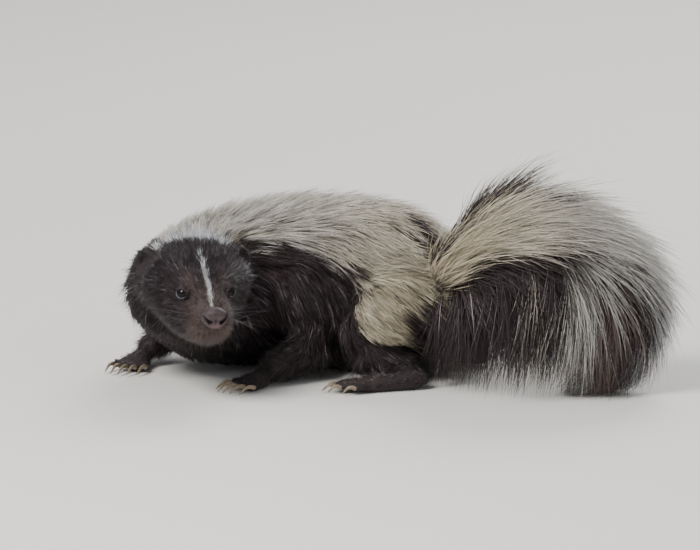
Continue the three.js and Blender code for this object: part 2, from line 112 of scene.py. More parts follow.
world = bpy.data.worlds.new("studio")
world.use_nodes = True
world.node_tree.nodes["Background"].inputs["Color"].default_value = (0.9, 0.92, 0.95, 1)
world.node_tree.nodes["Background"].inputs["Strength"].default_value = 0.55
bpy.context.scene.world = world


def linear(hex_colour):
    """An sRGB hex colour as Blender's linear RGBA."""
    parts = [int(hex_colour[i : i + 2], 16) / 255 for i in (1, 3, 5)]
    return [c / 12.92 if c <= 0.04045 else ((c + 0.055) / 1.055) ** 2.4 for c in parts] + [1]


def add(tree, kind, inputs=None, stops=(), **settings):
    """A node with its settings and links: an input is a value, a hex colour or an output.

    stops are a colour ramp's positions and colours, from first to last."""
    node = tree.nodes.new("ShaderNode" + kind)
    for key, value in settings.items():
        setattr(node, key, value)
    for key, value in (inputs or {}).items():
        if isinstance(value, bpy.types.NodeSocket):
            tree.links.new(value, node.inputs[key])
        else:
            node.inputs[key].default_value = linear(value) if isinstance(value, str) else value
    for i, (position, colour) in enumerate(stops[:1] + stops[-1:]):
        node.color_ramp.elements[i].position = position
        node.color_ramp.elements[i].color = linear(colour)
    for position, colour in stops[1:-1]:
        node.color_ramp.elements.new(position).color = linear(colour)
    return node


def material(name, finish):
    """A new material, its node tree and its shader; finish is what is the same all over it."""
    made = bpy.data.materials.new(name)
    made.use_nodes = True
    shader = made.node_tree.nodes["Principled BSDF"]
    for key, value in finish.items():
        shader.inputs[key].default_value = linear(value) if isinstance(value, str) else value
    return made, made.node_tree, shader


# A board under matt paint, so that it takes a soft shadow and shows no gleam
floor_bm = bmesh.new()
bmesh.ops.create_grid(floor_bm, x_segments=1, y_segments=1, size=14)
floor_mesh = bpy.data.meshes.new("floor")
floor_bm.to_mesh(floor_mesh)
floor_bm.free()
floor = bpy.data.objects.new("floor", floor_mesh)
bpy.context.scene.collection.objects.link(floor)
matt, tree, shader = material("matt_painted_board", {"Base Color": "#e9e7e3", "Roughness": 0.85})
floor.data.materials.append(matt)

# The body's forms: oval sections along a smooth line. Each station is x, y, z, half-width
# and half-height, in millimetres, from head to tail or from the trunk outwards.
TRUNK = [
    (-84, 13, 60, 22, 19), (-86, 30, 55, 31, 27), (-84, 50, 49, 37, 35), (-71, 74, 44, 40, 40),
    (-46, 92, 42, 40, 43), (-16, 97, 41, 41, 44.5), (13, 84, 40, 41, 43.5), (31, 61, 37.5, 35, 37),
    (46, 38, 41, 24, 23), (53, 24, 46, 12, 12),
]
TAIL = [
    (51, 36, 53, 11, 11), (55, 17, 66, 13, 13), (73, 5, 80, 15, 14), (98, 0, 86, 16, 14),
    (124, -1, 80, 14, 13), (144, 1, 63, 11, 10), (152, 4, 43, 8, 8), (150, 5, 27, 6.5, 6.5),
    (141, 6, 15, 5, 5), (128, 6, 9.5, 3.5, 3.5),
]
TAIL_BONE = 0.5  # the bare tail's thickness, as a share of the solid's core
HEAD = [
    (-26, 0, -4, 24, 19), (-12, 0, -5, 29.5, 23.5), (0, 0, -6, 31.5, 25), (12, 0, -7.5, 30.5, 24.5),
    (22, 0, -10, 25.5, 22.5), (31, 0, -12, 19, 19.2), (40, 0, -13.4, 14, 15.4),
    (49, 0, -13.7, 11.8, 11.8), (57, 0, -13.5, 9, 8.8),
]
# Along the head, how its section is shaped above and below: under 1 flat, over 1 drawn in
HEAD_SQUARE = [
    (0, 0.86, 1.16), (0.4, 0.86, 1.16), (0.45, 0.9, 1.16), (0.51, 1.01, 1.15), (0.56, 1.08, 1.13),
    (0.62, 1.1, 1.1), (0.675, 1.06, 1.06), (0.79, 0.99, 0.99), (0.9, 0.96, 0.96), (1, 0.96, 0.96),
]
LEGS = {
    "foreleg_left": {
        "upper": [(-38, 71, 58, 14, 16), (-29, 59, 46, 18, 20), (-21, 50, 31, 15, 16), (-19, 46, 20, 11, 12)],
        "lower": [(-18, 46, 20, 11, 12), (-30, 35, 14, 10, 10), (-42, 25, 10, 8.5, 8), (-48, 20, 8, 8, 7)],
        "heel": (-46, 21, 5), "toes": (-61, 8, 4), "wide": 9, "claw": 9,
    },
    "foreleg_right": {
        "upper": [
            (-76, 100, 56, 13, 15), (-88, 107, 42, 15, 17), (-92, 108, 28, 13, 15), (-93, 106, 18, 11, 12),
        ],
        "lower": [
            (-93, 106, 19, 11, 12), (-102, 94, 14, 10, 10), (-110, 82, 10, 8.5, 8), (-114, 76, 8, 8, 7),
        ],
        "heel": (-113, 78, 5), "toes": (-122, 60, 4), "wide": 9, "claw": 9,
    },
    "hindleg_left": {
        "upper": [(34, 50, 50, 16, 18), (24, 40, 40, 20, 22), (12, 33, 28, 16, 18), (6, 30, 20, 12, 13)],
        "lower": [(6, 30, 21, 11, 12), (16, 26, 15, 10, 10), (30, 21, 9, 8, 8), (38, 18, 7, 7, 7)],
        "heel": (39, 17, 6), "toes": (-10, 7, 4), "wide": 8.5, "claw": 5,
    },
    "hindleg_right": {
        "upper": [(50, 64, 48, 16, 18), (54, 82, 38, 20, 22), (47, 100, 28, 16, 18), (42, 108, 20, 12, 13)],
        "lower": [(43, 107, 21, 11, 12), (52, 101, 15, 10, 10), (66, 88, 9, 8, 8), (72, 80, 7, 7, 7)],
        "heel": (73, 79, 6), "toes": (38, 122, 4), "wide": 8.5, "claw": 5,
    },
}


def unit(v):
    """Vectors brought to length 1."""
    return v / np.maximum(np.linalg.norm(v, axis=-1, keepdims=True), 1e-9)


def smooth(low, high, x):
    """0 before the first limit, 1 past the second, and a soft step between them."""
    t = np.clip((np.asarray(x, float) - low) / (high - low), 0, 1)
    return t * t * (3 - 2 * t)


class Form:
    """A part of the body as a smooth line with oval sections, evenly stepped."""

    def __init__(self, stations, up=(0, 0, 1), blunt=0.1, square=((0, 1, 1), (1, 1, 1)), steps=120):
        s = np.array(stations, float)
        s = np.vstack([2 * s[0] - s[1], s, 2 * s[-1] - s[-2]])
        t = np.linspace(0, len(stations) - 1, steps * 4)
        i = np.minimum(t.astype(int), len(stations) - 2)
        w = (t - i)[:, None]
        a, b, c, d = s[i], s[i + 1], s[i + 2], s[i + 3]
        m, n = (c - a) / 2, (d - b) / 2
        p = (2 * b - 2 * c + m + n) * w**3 + (3 * c - 3 * b - 2 * m - n) * w**2 + m * w + b
        run = np.r_[0, np.cumsum(np.linalg.norm(np.diff(p[:, :3], axis=0), axis=1))]
        even = np.linspace(0, run[-1], steps)
        p = np.stack([np.interp(even, run, p[:, k]) for k in range(5)], 1)
        self.blunt, self.square = blunt, square
        self.centre = p[:, :3]
        self.along = unit(np.gradient(self.centre, axis=0))
        self.side = unit(np.cross(np.array(up, float), self.along))
        self.rise = np.cross(self.along, self.side)
        self.size = p[:, 3:]

    def at(self, share):
        """The line's frame at shares of its length: centre, along, side, rise and the two sizes."""
        f = np.clip(share, 0, 1) * (len(self.centre) - 1)
        i = np.minimum(f.astype(int), len(self.centre) - 2)
        w = (f - i)[..., None]
        return [
            a[i] * (1 - w) + a[i + 1] * w
            for a in (self.centre, self.along, self.side, self.rise, self.size)
        ]

    def point(self, share, angle, height=0.0):
        """Places at an angle round the sections, `height` above the surface."""
        share, angle = np.asarray(share, float), np.asarray(angle, float)
        centre, along, side, rise, size = self.at(share)
        end = np.maximum(0, np.maximum(1 - share / self.blunt, 1 - (1 - share) / self.blunt))
        cap = np.sqrt(np.maximum(0, 1 - end * end))[..., None]
        tip = np.where(share < 0.5, -end, end)[..., None]
        c, s = np.cos(angle), np.sin(angle)
        shares, above, below = zip(*self.square)
        square = np.where(s > 0, np.interp(share, shares, above), np.interp(share, shares, below))
        c = (np.sign(c) * np.abs(c) ** square)[..., None]
        s = (np.sign(s) * np.abs(s) ** square)[..., None]
        wide, high = size[..., :1] + height, size[..., 1:] + height
        return centre + side * c * wide * cap + rise * s * high * cap + along * height * tip

    def nearest(self, points):
        """For each point its share along, its angle round and its height above the surface."""
        share = np.empty(len(points))
        for first in range(0, len(points), 20000):
            part = points[first : first + 20000]
            far = (part**2).sum(1)[:, None] - 2 * part @ self.centre.T + (self.centre**2).sum(1)
            share[first : first + 20000] = far.argmin(1) / (len(self.centre) - 1)
        centre, along, side, rise, size = self.at(share)
        r = points - centre
        across, above = (r * side).sum(1), (r * rise).sum(1)
        beyond = np.abs((r * along).sum(1))
        flat = np.hypot(across, above)
        rim = 1 / np.maximum(np.hypot(across / size[:, 0], above / size[:, 1]) / np.maximum(flat, 1e-6), 1e-6)
        angle = np.arctan2(above / size[:, 1], across / size[:, 0])
        return share, angle, np.hypot(flat - rim, beyond) * np.sign(flat - rim + 1e-9)

    def into(self, bm, sides, rings, height=0.0, relief=None):
        """Adds the form's surface to a bmesh, from a sphere whose rings are carried along the line."""
        verts = bmesh.ops.create_uvsphere(bm, u_segments=sides, v_segments=rings, radius=1)["verts"]
        ball = np.array([v.co for v in verts])
        share = np.arccos(np.clip(ball[:, 2], -1, 1)) / math.pi
        places = self.point(share, np.arctan2(ball[:, 1], ball[:, 0]), height)
        if relief:
            places = relief(places)
        for v, p in zip(verts, places):
            v.co = p
        return verts


trunk = Form(TRUNK)
bare_tail = [(x, y, z, w * TAIL_BONE, h * TAIL_BONE) for x, y, z, w, h in TAIL]
tail = Form(bare_tail, up=(0, 1, 0), blunt=0.06)
head = Form(HEAD, blunt=0.16, square=HEAD_SQUARE)

# Skin: one closed hide over the whole animal, soft where leg meets trunk and cheek meets neck.
# It lies under the coat, so that only the short-haired face, feet and ears come near its shape.
SKIN_STEP = 1.6  # the hide's mesh, mm
HEAD_FUR = 1.5  # how far the hide lies inside each form, under the fur, mm
TRUNK_FUR, LEG_FUR, PAW_FUR, TOE_FUR = 1.0, 1.5, 0.6, 0.3
EAR_PLACE = (0, 25.2, 6.5)
EAR_FACES = (0.76, 0.65, -0.02)
EAR_SIZE = (6.2, 7.9, 9.8)  # half its depth, width and height
EAR_CUP = 8.0  # how deep its cup is
HEAD_BUMPS = [  # forwards, sideways, up, radius, height
    (35, 14, -3, 6.5, -1.8), (28, 11.5, 6, 6.5, 1.0), (50, 8, -16, 6, 1.5), (6, 27, -18, 15, -5),
]


def head_relief(p):
    """Brows, eye hollows, whisker pads and cheeks."""
    r = p - np.array([0, 0, -8.0])
    out = unit(r * [0.3, 1, 1])
    rise = np.zeros(len(p))
    for x, y, z, radius, height in HEAD_BUMPS:
        for way in (1, -1):
            rise += height * np.exp(-((p - [x, y * way, z]) ** 2).sum(1) / radius**2)
    return p + out * rise[:, None]


def facing(direction):
    """A turn that carries +X to a direction and keeps +Z up."""
    x = unit(np.array(direction, float))
    y = unit(np.cross([0, 0, 1], x))
    return np.stack([x, y, np.cross(x, y)], 1)


def ear_into(bm, way):
    """A low rounded cup with a thick rim."""
    verts = bmesh.ops.create_uvsphere(bm, u_segments=28, v_segments=20, radius=1)["verts"]
    ball = np.array([v.co for v in verts])
    across = np.hypot(ball[:, 1], ball[:, 2])
    deep = EAR_CUP * smooth(0.92, 0.3, across) * (ball[:, 0] > 0)
    shell = ball * EAR_SIZE
    shell[:, 0] -= deep
    turn = facing((EAR_FACES[0], EAR_FACES[1] * way, EAR_FACES[2]))
    place = np.array([EAR_PLACE[0], EAR_PLACE[1] * way, EAR_PLACE[2]])
    for v, p in zip(verts, from_head(shell @ turn.T + place)):
        v.co = p


def toe_lines(leg):
    """Each toe's line and its claw's root and tip, on a foot flat on the floor."""
    start, end = np.array(leg["heel"], float), np.array(leg["toes"], float)
    long = np.linalg.norm(end - start)
    ahead = (end - start) / long
    aside = np.cross([0, 0, 1], ahead)

    def at(share, side, z):
        p = start + ahead * share * long + aside * side
        return np.array([p[0], p[1], z])

    toes = []
    for toe in range(-2, 3):
        side = toe * leg["wide"] * 0.46
        reach = 1 - 0.05 * toe * toe
        line = [
            (*at(0.62, side * 0.9, 4), 2.2, 2.6),
            (*at(reach * 0.85 + 0.06, side * 1.1, 4.2), 2.2, 2.7),
            (*at(reach * 0.98 + 0.04, side * 1.2, 2.6), 1.9, 2.2),
        ]
        root = at(reach * 0.95, side * 1.18, 3.2)
        tip = root + ahead * (leg["claw"] + 3)
        toes.append((line, root, np.array([tip[0], tip[1], 1.0])))
    w = leg["wide"]
    palm = [
        (*at(-0.12, 0, 6.5), w * 0.6, 6), (*at(0.3, 0, 5), w * 0.8, 5.6),
        (*at(0.62, 0, 4), w, 5), (*at(0.82, 0, 3), w * 0.8, 4),
    ]
    return palm, toes


skin_bm = bmesh.new()
trunk.into(skin_bm, 64, 64, -TRUNK_FUR)
tail.into(skin_bm, 20, 90)
forms = {"trunk": trunk, "tail": tail}
for v in head.into(skin_bm, 72, 72, -HEAD_FUR, head_relief):
    v.co = from_head(v.co)
for way in (1, -1):
    ear_into(skin_bm, way)
for name, leg in LEGS.items():
    upper = forms[name + "_upper"] = Form(leg["upper"], up=(0, 1, 0), blunt=0.25)
    lower = forms[name + "_lower"] = Form(leg["lower"], blunt=0.2)
    upper.into(skin_bm, 32, 24, -LEG_FUR)
    lower.into(skin_bm, 28, 24, -LEG_FUR)
    palm, toes = toe_lines(leg)
    forms[name + "_paw"] = Form(palm, blunt=0.25)
    forms[name + "_paw"].into(skin_bm, 24, 16, -PAW_FUR)
    for line, root, tip in toes:
        Form(line, blunt=0.3).into(skin_bm, 12, 12, -TOE_FUR)
bmesh.ops.recalc_face_normals(skin_bm, faces=skin_bm.faces)
rough_mesh = bpy.data.meshes.new("rough_hide")
skin_bm.to_mesh(rough_mesh)
skin_bm.free()
rough = bpy.data.objects.new("rough_hide", rough_mesh)
bpy.context.scene.collection.objects.link(rough)
remesh = rough.modifiers.new("one_hide", "REMESH")
remesh.mode = "VOXEL"
remesh.voxel_size = SKIN_STEP
whole_mesh = bpy.data.meshes.new_from_object(rough.evaluated_get(bpy.context.evaluated_depsgraph_get()))
bpy.data.objects.remove(rough)
bpy.data.meshes.remove(rough_mesh)


def soften(verts, rounds, factor):
    """Evens out the skin at some of its points, round after round."""
    for i in range(rounds):
        bmesh.ops.smooth_vert(
            skin_bm, verts=verts, factor=factor, use_axis_x=True, use_axis_y=True, use_axis_z=True
        )


# Soften the joins, and leave the head, ears and toes crisp
skin_bm = bmesh.new()
skin_bm.from_mesh(whole_mesh)
bpy.data.meshes.remove(whole_mesh)
places = np.array([v.co for v in skin_bm.verts])
on_head = to_head(places)
headward = smooth(-30, -18, on_head[:, 0]) * (np.abs(on_head[:, 1]) < 45) * (places[:, 1] < 45)
pawward = np.zeros(len(places))
for name in LEGS:
    share, angle, height = forms[name + "_paw"].nearest(places)
    pawward = np.maximum(pawward, smooth(14, 8, height))
soft = [v for v, h, w in zip(skin_bm.verts, headward, pawward) if h < 0.2 and w < 0.5]
soften(soft, 14, 0.6)
soften(skin_bm.verts, 2, 0.5)

# A finer mesh on the face, finest round the eyes, nose and mouth, then the face's own forms
EYE_RADIUS = 5.0
EYE_LOOKS = (0.82, 0.55, 0.16)
EYE_OPENING = (2.6, 2.3)  # half the opening's length and height
EYE_TILT = 0.26  # how far its inner corner dips
LID_REACH = 0.25  # how far the lids stand off the eyeball
MOUTH = [(31, -24), (34, -21), (38, -19.2), (47, -20.6), (56, -19.6), (66, -19.6)]  # forwards, up


def head_places():
    """The skin's points in head measures."""
    return to_head(np.array([v.co for v in skin_bm.verts]))


def refine(chosen):
    """Splits the faces whose corners are all chosen, each into four."""
    skin_bm.verts.index_update()
    faces = [f for f in skin_bm.faces if all(chosen[v.index] for v in f.verts)]
    edges = {e for f in faces for e in f.edges}
    bmesh.ops.subdivide_edges(skin_bm, edges=list(edges), cuts=1, use_grid_fill=True)


h = head_places()
refine((h[:, 0] > -8) & (np.abs(h[:, 1]) < 40) & (np.abs(h[:, 2]) < 40))
h = head_places()
near_eye = np.minimum(
    np.linalg.norm(h - EYE_PLACE, axis=1), np.linalg.norm(h - EYE_PLACE * [1, -1, 1], axis=1)
)
near_lips = (h[:, 0] > 34) & (h[:, 2] < -11) & (h[:, 2] > -27) & (np.abs(h[:, 1]) < 18)
refine((near_eye < 10) | near_lips)
h = head_places()
fine = [v for v, p in zip(skin_bm.verts, h) if p[0] > -4 and abs(p[1]) < 38 and abs(p[2]) < 38]
soften(fine, 3, 0.5)


def eye_frame(way):
    """An eye's place, the way it looks, the line to its inner corner, and its up."""
    looks = unit(np.array([EYE_LOOKS[0], EYE_LOOKS[1] * way, EYE_LOOKS[2]]))
    inward = unit(np.cross(looks, [0, 0, 1]) * way)
    inward = unit(inward - EYE_TILT * np.cross(inward, looks) * way)
    inward = unit(inward - looks * (inward @ looks))
    up = np.cross(looks, inward) * -way
    return EYE_PLACE * [1, way, 1], looks, inward, up * np.sign(up[2])


def with_lids(p):
    """Draws the skin round each eyeball into two lids, the upper thicker and with a crease.

    Also says where the skin is bare, and where a pale painted gleam of light lies along the lower lid's rim."""
    p = p.copy()
    bare, rim = np.zeros(len(p)), np.zeros(len(p))
    for way in (1, -1):
        place, looks, inward, up = eye_frame(way)
        r = p - place
        deep, a, b = r @ looks, r @ inward, r @ up
        long = EYE_OPENING[0] * (1 + 0.18 * smooth(0, 4, a))
        tall = EYE_OPENING[1] * (1 - 0.12 * smooth(0, 4, a))
        ring = np.hypot(a / long, b / tall)
        ball = np.sqrt(np.maximum(EYE_RADIUS**2 - a * a - b * b, 0))
        upper = smooth(-1, 2, b)
        roll = (0.35 + 0.3 * upper) * np.exp(-(((ring - 1.2) / 0.24) ** 2))
        fold = np.exp(-(((ring - 1.72) / 0.16) ** 2))
        brow = np.exp(-(((ring - 2.05) / 0.24) ** 2))
        crease = -0.5 * upper * fold + 0.45 * upper * brow
        lid = ball + LID_REACH + roll
        inner = smooth(0.88, 1.04, ring)
        wanted = (ball - 2.4) * (1 - inner) + lid * inner
        hold = smooth(2.5, 1.3, ring) * (deep > -1)
        p += looks * ((wanted - deep) * hold + crease * (deep > 0) * (ring < 3))[:, None]
        bare = np.maximum(bare, smooth(1.34, 1.14, ring) * (deep > 0))
        # the pale band along the lower lid's rim is a painted gleam of light
        lower = smooth(-0.4, -1.8, b + 0.3 * a)
        rim = np.maximum(rim, 0.55 * lower * np.exp(-(((ring - 1.1) / 0.1) ** 2)) * (deep > 0))
    return p, bare, rim


def read_off(table, x, **ends):
    """A table of pairs, read between its rows."""
    return np.interp(x, *zip(*table), **ends)


def with_mouth(p):
    """The closed mouth: a groove between two soft lips, and the cleft below the nose."""
    line = read_off(MOUTH, p[:, 0])
    gap = p[:, 2] - line
    out = unit((p - [30, 0, -19]) * [0.35, 1, 1])
    reach = smooth(34, 39, p[:, 0]) * (p[:, 2] < -8)
    groove = -0.8 * np.exp(-((gap / 0.45) ** 2))
    lips = 0.5 * np.exp(-(((gap - 1.5) / 1.1) ** 2)) - 0.2 * np.exp(-(((gap + 1.2) / 0.9) ** 2))
    front = smooth(53, 57, p[:, 0])
    cleft = -0.7 * np.exp(-((p[:, 1] / 0.5) ** 2)) * front * (gap > 0) * (gap < 5)
    shift = (groove + lips) * reach + cleft
    bare = 0.5 * np.exp(-((gap / 0.8) ** 2)) * reach
    return p + out * shift[:, None], bare


h = head_places()
facial = (h[:, 0] > 8) & (np.abs(h[:, 1]) < 34) & (np.abs(h[:, 2]) < 34)
shaped, lid_bare, lid_painted_gleam = with_lids(h)
shaped, lip_bare = with_mouth(shaped)
skin_bare = np.where(facial, np.maximum(lid_bare, lip_bare), 0)
skin_painted_gleam = np.where(facial, lid_painted_gleam, 0)
for v, p, ours in zip(skin_bm.verts, from_head(shaped), facial):
    if ours:
        v.co = p
for v in skin_bm.verts:
    v.co.z = max(v.co.z, 0.5)
bmesh.ops.triangulate(skin_bm, faces=[f for f in skin_bm.faces if len(f.verts) > 4])

# What doesn't hang together with the highest point is a speck of the remesh, and goes
joined, ends = set(), [max(skin_bm.verts, key=lambda v: v.co.z)]
while ends:
    v = ends.pop()
    if v not in joined:
        joined.add(v)
        ends += [e.other_vert(v) for e in v.link_edges]
of_hide = np.array([v in joined for v in skin_bm.verts])
skin_bare, skin_painted_gleam = skin_bare[of_hide], skin_painted_gleam[of_hide]
bmesh.ops.delete(skin_bm, geom=[v for v in skin_bm.verts if v not in joined], context="VERTS")


def piece_of(name, bm):
    """A finished bmesh as a piece at the origin, its faces turned outwards and shaded smooth."""
    bm.normal_update()
    bmesh.ops.recalc_face_normals(bm, faces=bm.faces)
    mesh = bpy.data.meshes.new(name)
    bm.to_mesh(mesh)
    mesh.shade_smooth()
    made = bpy.data.objects.new(name, mesh)
    bpy.context.scene.collection.objects.link(made)
    return made


skin = piece_of("skin", skin_bm)
skin_mesh = skin.data
skin_bm.normal_update()
hide_tree = BVHTree.FromBMesh(skin_bm)
skin_bm.free()
places = np.empty(len(skin_mesh.vertices) * 3)
skin_mesh.vertices.foreach_get("co", places)
places = places.reshape(-1, 3)
normals = np.empty(len(places) * 3)
skin_mesh.vertices.foreach_get("normal", normals)
normals = unit(normals.reshape(-1, 3))
skin_mesh.calc_loop_triangles()
corners = np.empty(len(skin_mesh.loop_triangles) * 3, int)
skin_mesh.loop_triangles.foreach_get("vertices", corners)
corners = corners.reshape(-1, 3)

# The coat's lie, length and markings, worked out at every point of the skin. Each point
# listens to the forms near it, the nearest most, so that the lie turns smoothly from one
# to the next. Angles round the trunk are in degrees: 0 its right side, 90 its back, 180 its left.
FLANK_SLANT = math.radians(34)
# Hair length and how high its tips stand, mm: by share of the trunk and tail, and by how far
# forward on the head
TRUNK_HAIR = [(0.05, 13), (0.17, 19), (0.34, 30), (0.53, 36), (0.76, 44), (0.9, 42), (1, 34)]
TRUNK_STAND = [(0.05, 5), (0.2, 8), (0.43, 9.5), (0.8, 11), (1, 8)]
TAIL_HAIR = [(0, 42), (0.12, 56), (0.45, 62), (0.7, 52), (0.85, 38), (1, 26)]
TAIL_STAND = [(0, 4), (0.1, 9), (0.26, 22), (0.5, 19), (0.72, 12), (0.88, 7), (1, 5)]
FAN_STAND = 12  # how much higher the black hair over the tail's root stands
HANGING = 88  # the longest hair that hangs under the tail's arch
HEAD_HAIR = [(-25, 17), (-14, 12), (-6, 8.5), (4, 7), (20, 5.8), (32, 4.6), (44, 3.3), (58, 2.2)]
HEAD_STAND = [(-25, 5), (-6, 3.6), (4, 2.9), (20, 2.2), (32, 1.5), (58, 1.0)]


def inside(value, low, high, edge):
    """1 between two limits, 0 outside, with soft edges."""
    return smooth(low - edge, low + edge, value) * smooth(high + edge, high - edge, value)


def lie_on(form, share, angle, down):
    """Unit directions along a form, turned by `down` radians towards its underside."""
    centre, along, side, rise, size = form.at(share)
    across, over = np.sin(angle) * size[:, 0], np.cos(angle) * size[:, 1]
    round_ = unit(-side * across[:, None] + rise * over[:, None])
    turn = -np.sign(np.cos(angle)) * down
    return along * np.cos(turn)[:, None] + round_ * np.sin(turn)[:, None]


on_head = to_head(places)
near = {name: form.nearest(places) for name, form in forms.items()}
head_height = head.nearest(on_head)[2]
ear_far = np.minimum(
    np.linalg.norm(on_head - EAR_PLACE, axis=1),
    np.linalg.norm(on_head - np.array(EAR_PLACE) * [1, -1, 1], axis=1),
)
lie = np.zeros_like(places)
hair = np.zeros(len(places))  # length, mm
lift = np.zeros(len(places))  # how high its tip stands off the skin, mm
weight_sum = np.zeros(len(places))


def listen(weight, direction, length, height):
    """Adds one form's say about the hair to every point's."""
    global lie, hair, lift, weight_sum
    lie += direction * weight[:, None]
    hair += length * weight
    lift += height * weight
    weight_sum += weight


def weight_of(height, reach=5.0):
    """How much a point listens to a form, by its height over it."""
    return np.exp(-np.maximum(np.abs(height), 0) / reach) + 1e-9


share, angle, height = near["trunk"]
under = smooth(0.2, 0.9, -np.sin(angle))
slant = FLANK_SLANT * np.abs(np.cos(angle)) ** 1.3
length = read_off(TRUNK_HAIR, share) * (1 - 0.5 * under)
stand = read_off(TRUNK_STAND, share) * (1 - 0.55 * under)
shoulder = smooth(0.2, 0.26, share) * smooth(0.45, 0.37, share) * smooth(160, 172, np.degrees(angle) % 360)
length = length * (1 - 0.45 * shoulder)
stand = stand * (1 - 0.5 * shoulder)
nape = smooth(0.36, 0.26, share) * smooth(0.1, 0.5, np.cos(angle))  # sleek beside its right cheek
length = length * (1 - 0.35 * nape)
stand = stand * (1 - 0.7 * nape)
flow = lie_on(trunk, share, angle, slant)
to_tail = smooth(0.62, 0.84, share)[:, None]
# over the thigh the hair falls, and over the top of the rump it turns towards the front
rise = read_off([(30, -1.1), (45, -0.8), (58, -0.4), (80, -0.2)], places[:, 2])
rise = rise + 0.55 * smooth(0.88, 0.97, share)
ahead = read_off([(58, 0.25), (72, 0.75)], places[:, 2])
rearward = unit(np.stack([1 - 0.5 * ahead, -ahead, rise], 1))
listen(weight_of(height), unit(flow * (1 - to_tail) + rearward * to_tail), length, stand)
for name in LEGS:
    share, angle, height = near[name + "_upper"]
    flow = lie_on(forms[name + "_upper"], share, angle, 0 * angle)
    if name.startswith("hind"):
        flow = 0.25 * flow + trunk.at(near["trunk"][0])[1] * 0.8 + [0.7, 0, -0.75]
    listen(weight_of(height), unit(flow), np.interp(share, [0, 1], [33, 12]),
           np.interp(share, [0, 1], [5, 2.2]))
    share, angle, height = near[name + "_lower"]
    listen(weight_of(height, 3), lie_on(forms[name + "_lower"], share, angle, 0 * angle),
           np.interp(share, [0, 1], [14, 7]), np.interp(share, [0, 1], [3.5, 1.8]))
    share, angle, height = near[name + "_paw"]
    listen(3 * weight_of(height, 2), lie_on(forms[name + "_paw"], share, angle, 0 * angle),
           np.interp(share, [0, 1], [4, 2.2]), np.full(len(share), 0.8))
share, angle, height = near["tail"]
above = smooth(-0.3, 0.9, -np.cos(angle))
tail_hair = read_off(TAIL_HAIR, share)
tail_lift = read_off(TAIL_STAND, share) * (0.95 + 0.2 * above)
fan = inside(np.degrees(angle) % 360, 108, 176, 12) * inside(share, 0.14, 0.25, 0.03) * (height < 12)
tail_lift = tail_lift + FAN_STAND * fan
# how far the hair falls free under the arch instead of following the skin
hang = smooth(0.3, 0.7, np.cos(angle)) * smooth(0.74, 0.66, share) * (height < 8)
tail_hair = tail_hair * (1 - hang) + hang * np.minimum(HANGING, places[:, 2] + 12)
swept = inside(share, 0.28, 0.72, 0.08) * smooth(-0.7, 0.2, np.cos(angle)) * (1 - hang)
swept = swept[:, None] * [1.1, 0, 0.25]
listen(2 * weight_of(height, 4), unit(lie_on(tail, share, angle, 0 * angle) + swept), tail_hair, tail_lift)
spread = unit(on_head * [0, 1, 1] - [0, 0, -8])
cheek = smooth(6, 26, np.abs(on_head[:, 1])) * smooth(10, -14, on_head[:, 2])
backward = np.tile([-1.0, 0, 0], (len(places), 1)) + spread * 0.25 + np.stack(
    [0 * cheek, 0.15 * np.sign(on_head[:, 1]) * cheek, -0.7 * cheek], 1
)
head_hair = read_off(HEAD_HAIR, on_head[:, 0])
head_hair = head_hair * (1 + 0.5 * cheek * smooth(30, 10, on_head[:, 0]))
chin = smooth(-17, -22, on_head[:, 2]) * smooth(30, 42, on_head[:, 0])
head_hair = head_hair + 3.4 * chin
head_lift = read_off(HEAD_STAND, on_head[:, 0]) + 2.2 * chin
listen(2 * weight_of(head_height, 4), unit(backward) @ HEAD_TURN.T, head_hair, head_lift)
ear_weight = 40 * smooth(12, 8.5, ear_far)
ear_side = np.stack([np.ones(len(places)), np.sign(on_head[:, 1]), np.ones(len(places))], 1)
ear_out = unit(on_head - np.array(EAR_PLACE) * ear_side + [0, 0, 6])
listen(ear_weight, (ear_out + [-0.5, 0, 0.3]) @ HEAD_TURN.T, np.full(len(places), 2.3),
       np.full(len(places), 0.5))
lie = lie / weight_sum[:, None]
hair = hair / weight_sum
lift = lift / weight_sum
lie = unit(lie - normals * (lie * normals).sum(1)[:, None])

# The markings: a white cap from the crown down the nape, which widens to a saddle and parts
# round a black wedge into two stripes; they run along the tail, black above and below.
# The same places colour the skin and every hair that grows on it.
STRIPE = [  # share of the trunk, and the angle where the white ends on its left side
    (0.05, 112), (0.12, 122), (0.176, 139), (0.235, 133), (0.3, 128), (0.4, 138), (0.51, 144),
    (0.66, 140), (0.7, 142), (0.75, 149), (0.8, 160), (0.84, 171), (0.88, 188), (0.92, 206),
    (0.945, 206), (0.965, 140), (1, 112),
]
# Share of the tail, and the angles between which its left stripe lies
TAIL_TOP = [(0, 180), (0.08, 184), (0.25, 186), (0.4, 178), (0.6, 166), (1, 160)]
TAIL_LOW = [
    (0, 288), (0.2, 288), (0.35, 282), (0.45, 266), (0.55, 252), (0.68, 244), (0.85, 246), (1, 252),
]
BLAZE = [(17, 0), (21, 0.3), (30, 0.7), (46, 0.65), (55, 0.1)]  # head: forwards, half-width, mm
WHITE_LOCK, GREY_LOCK, BROWN_LOCK = (103, 115), (82, 89), (119, 136)  # hanging locks, by x


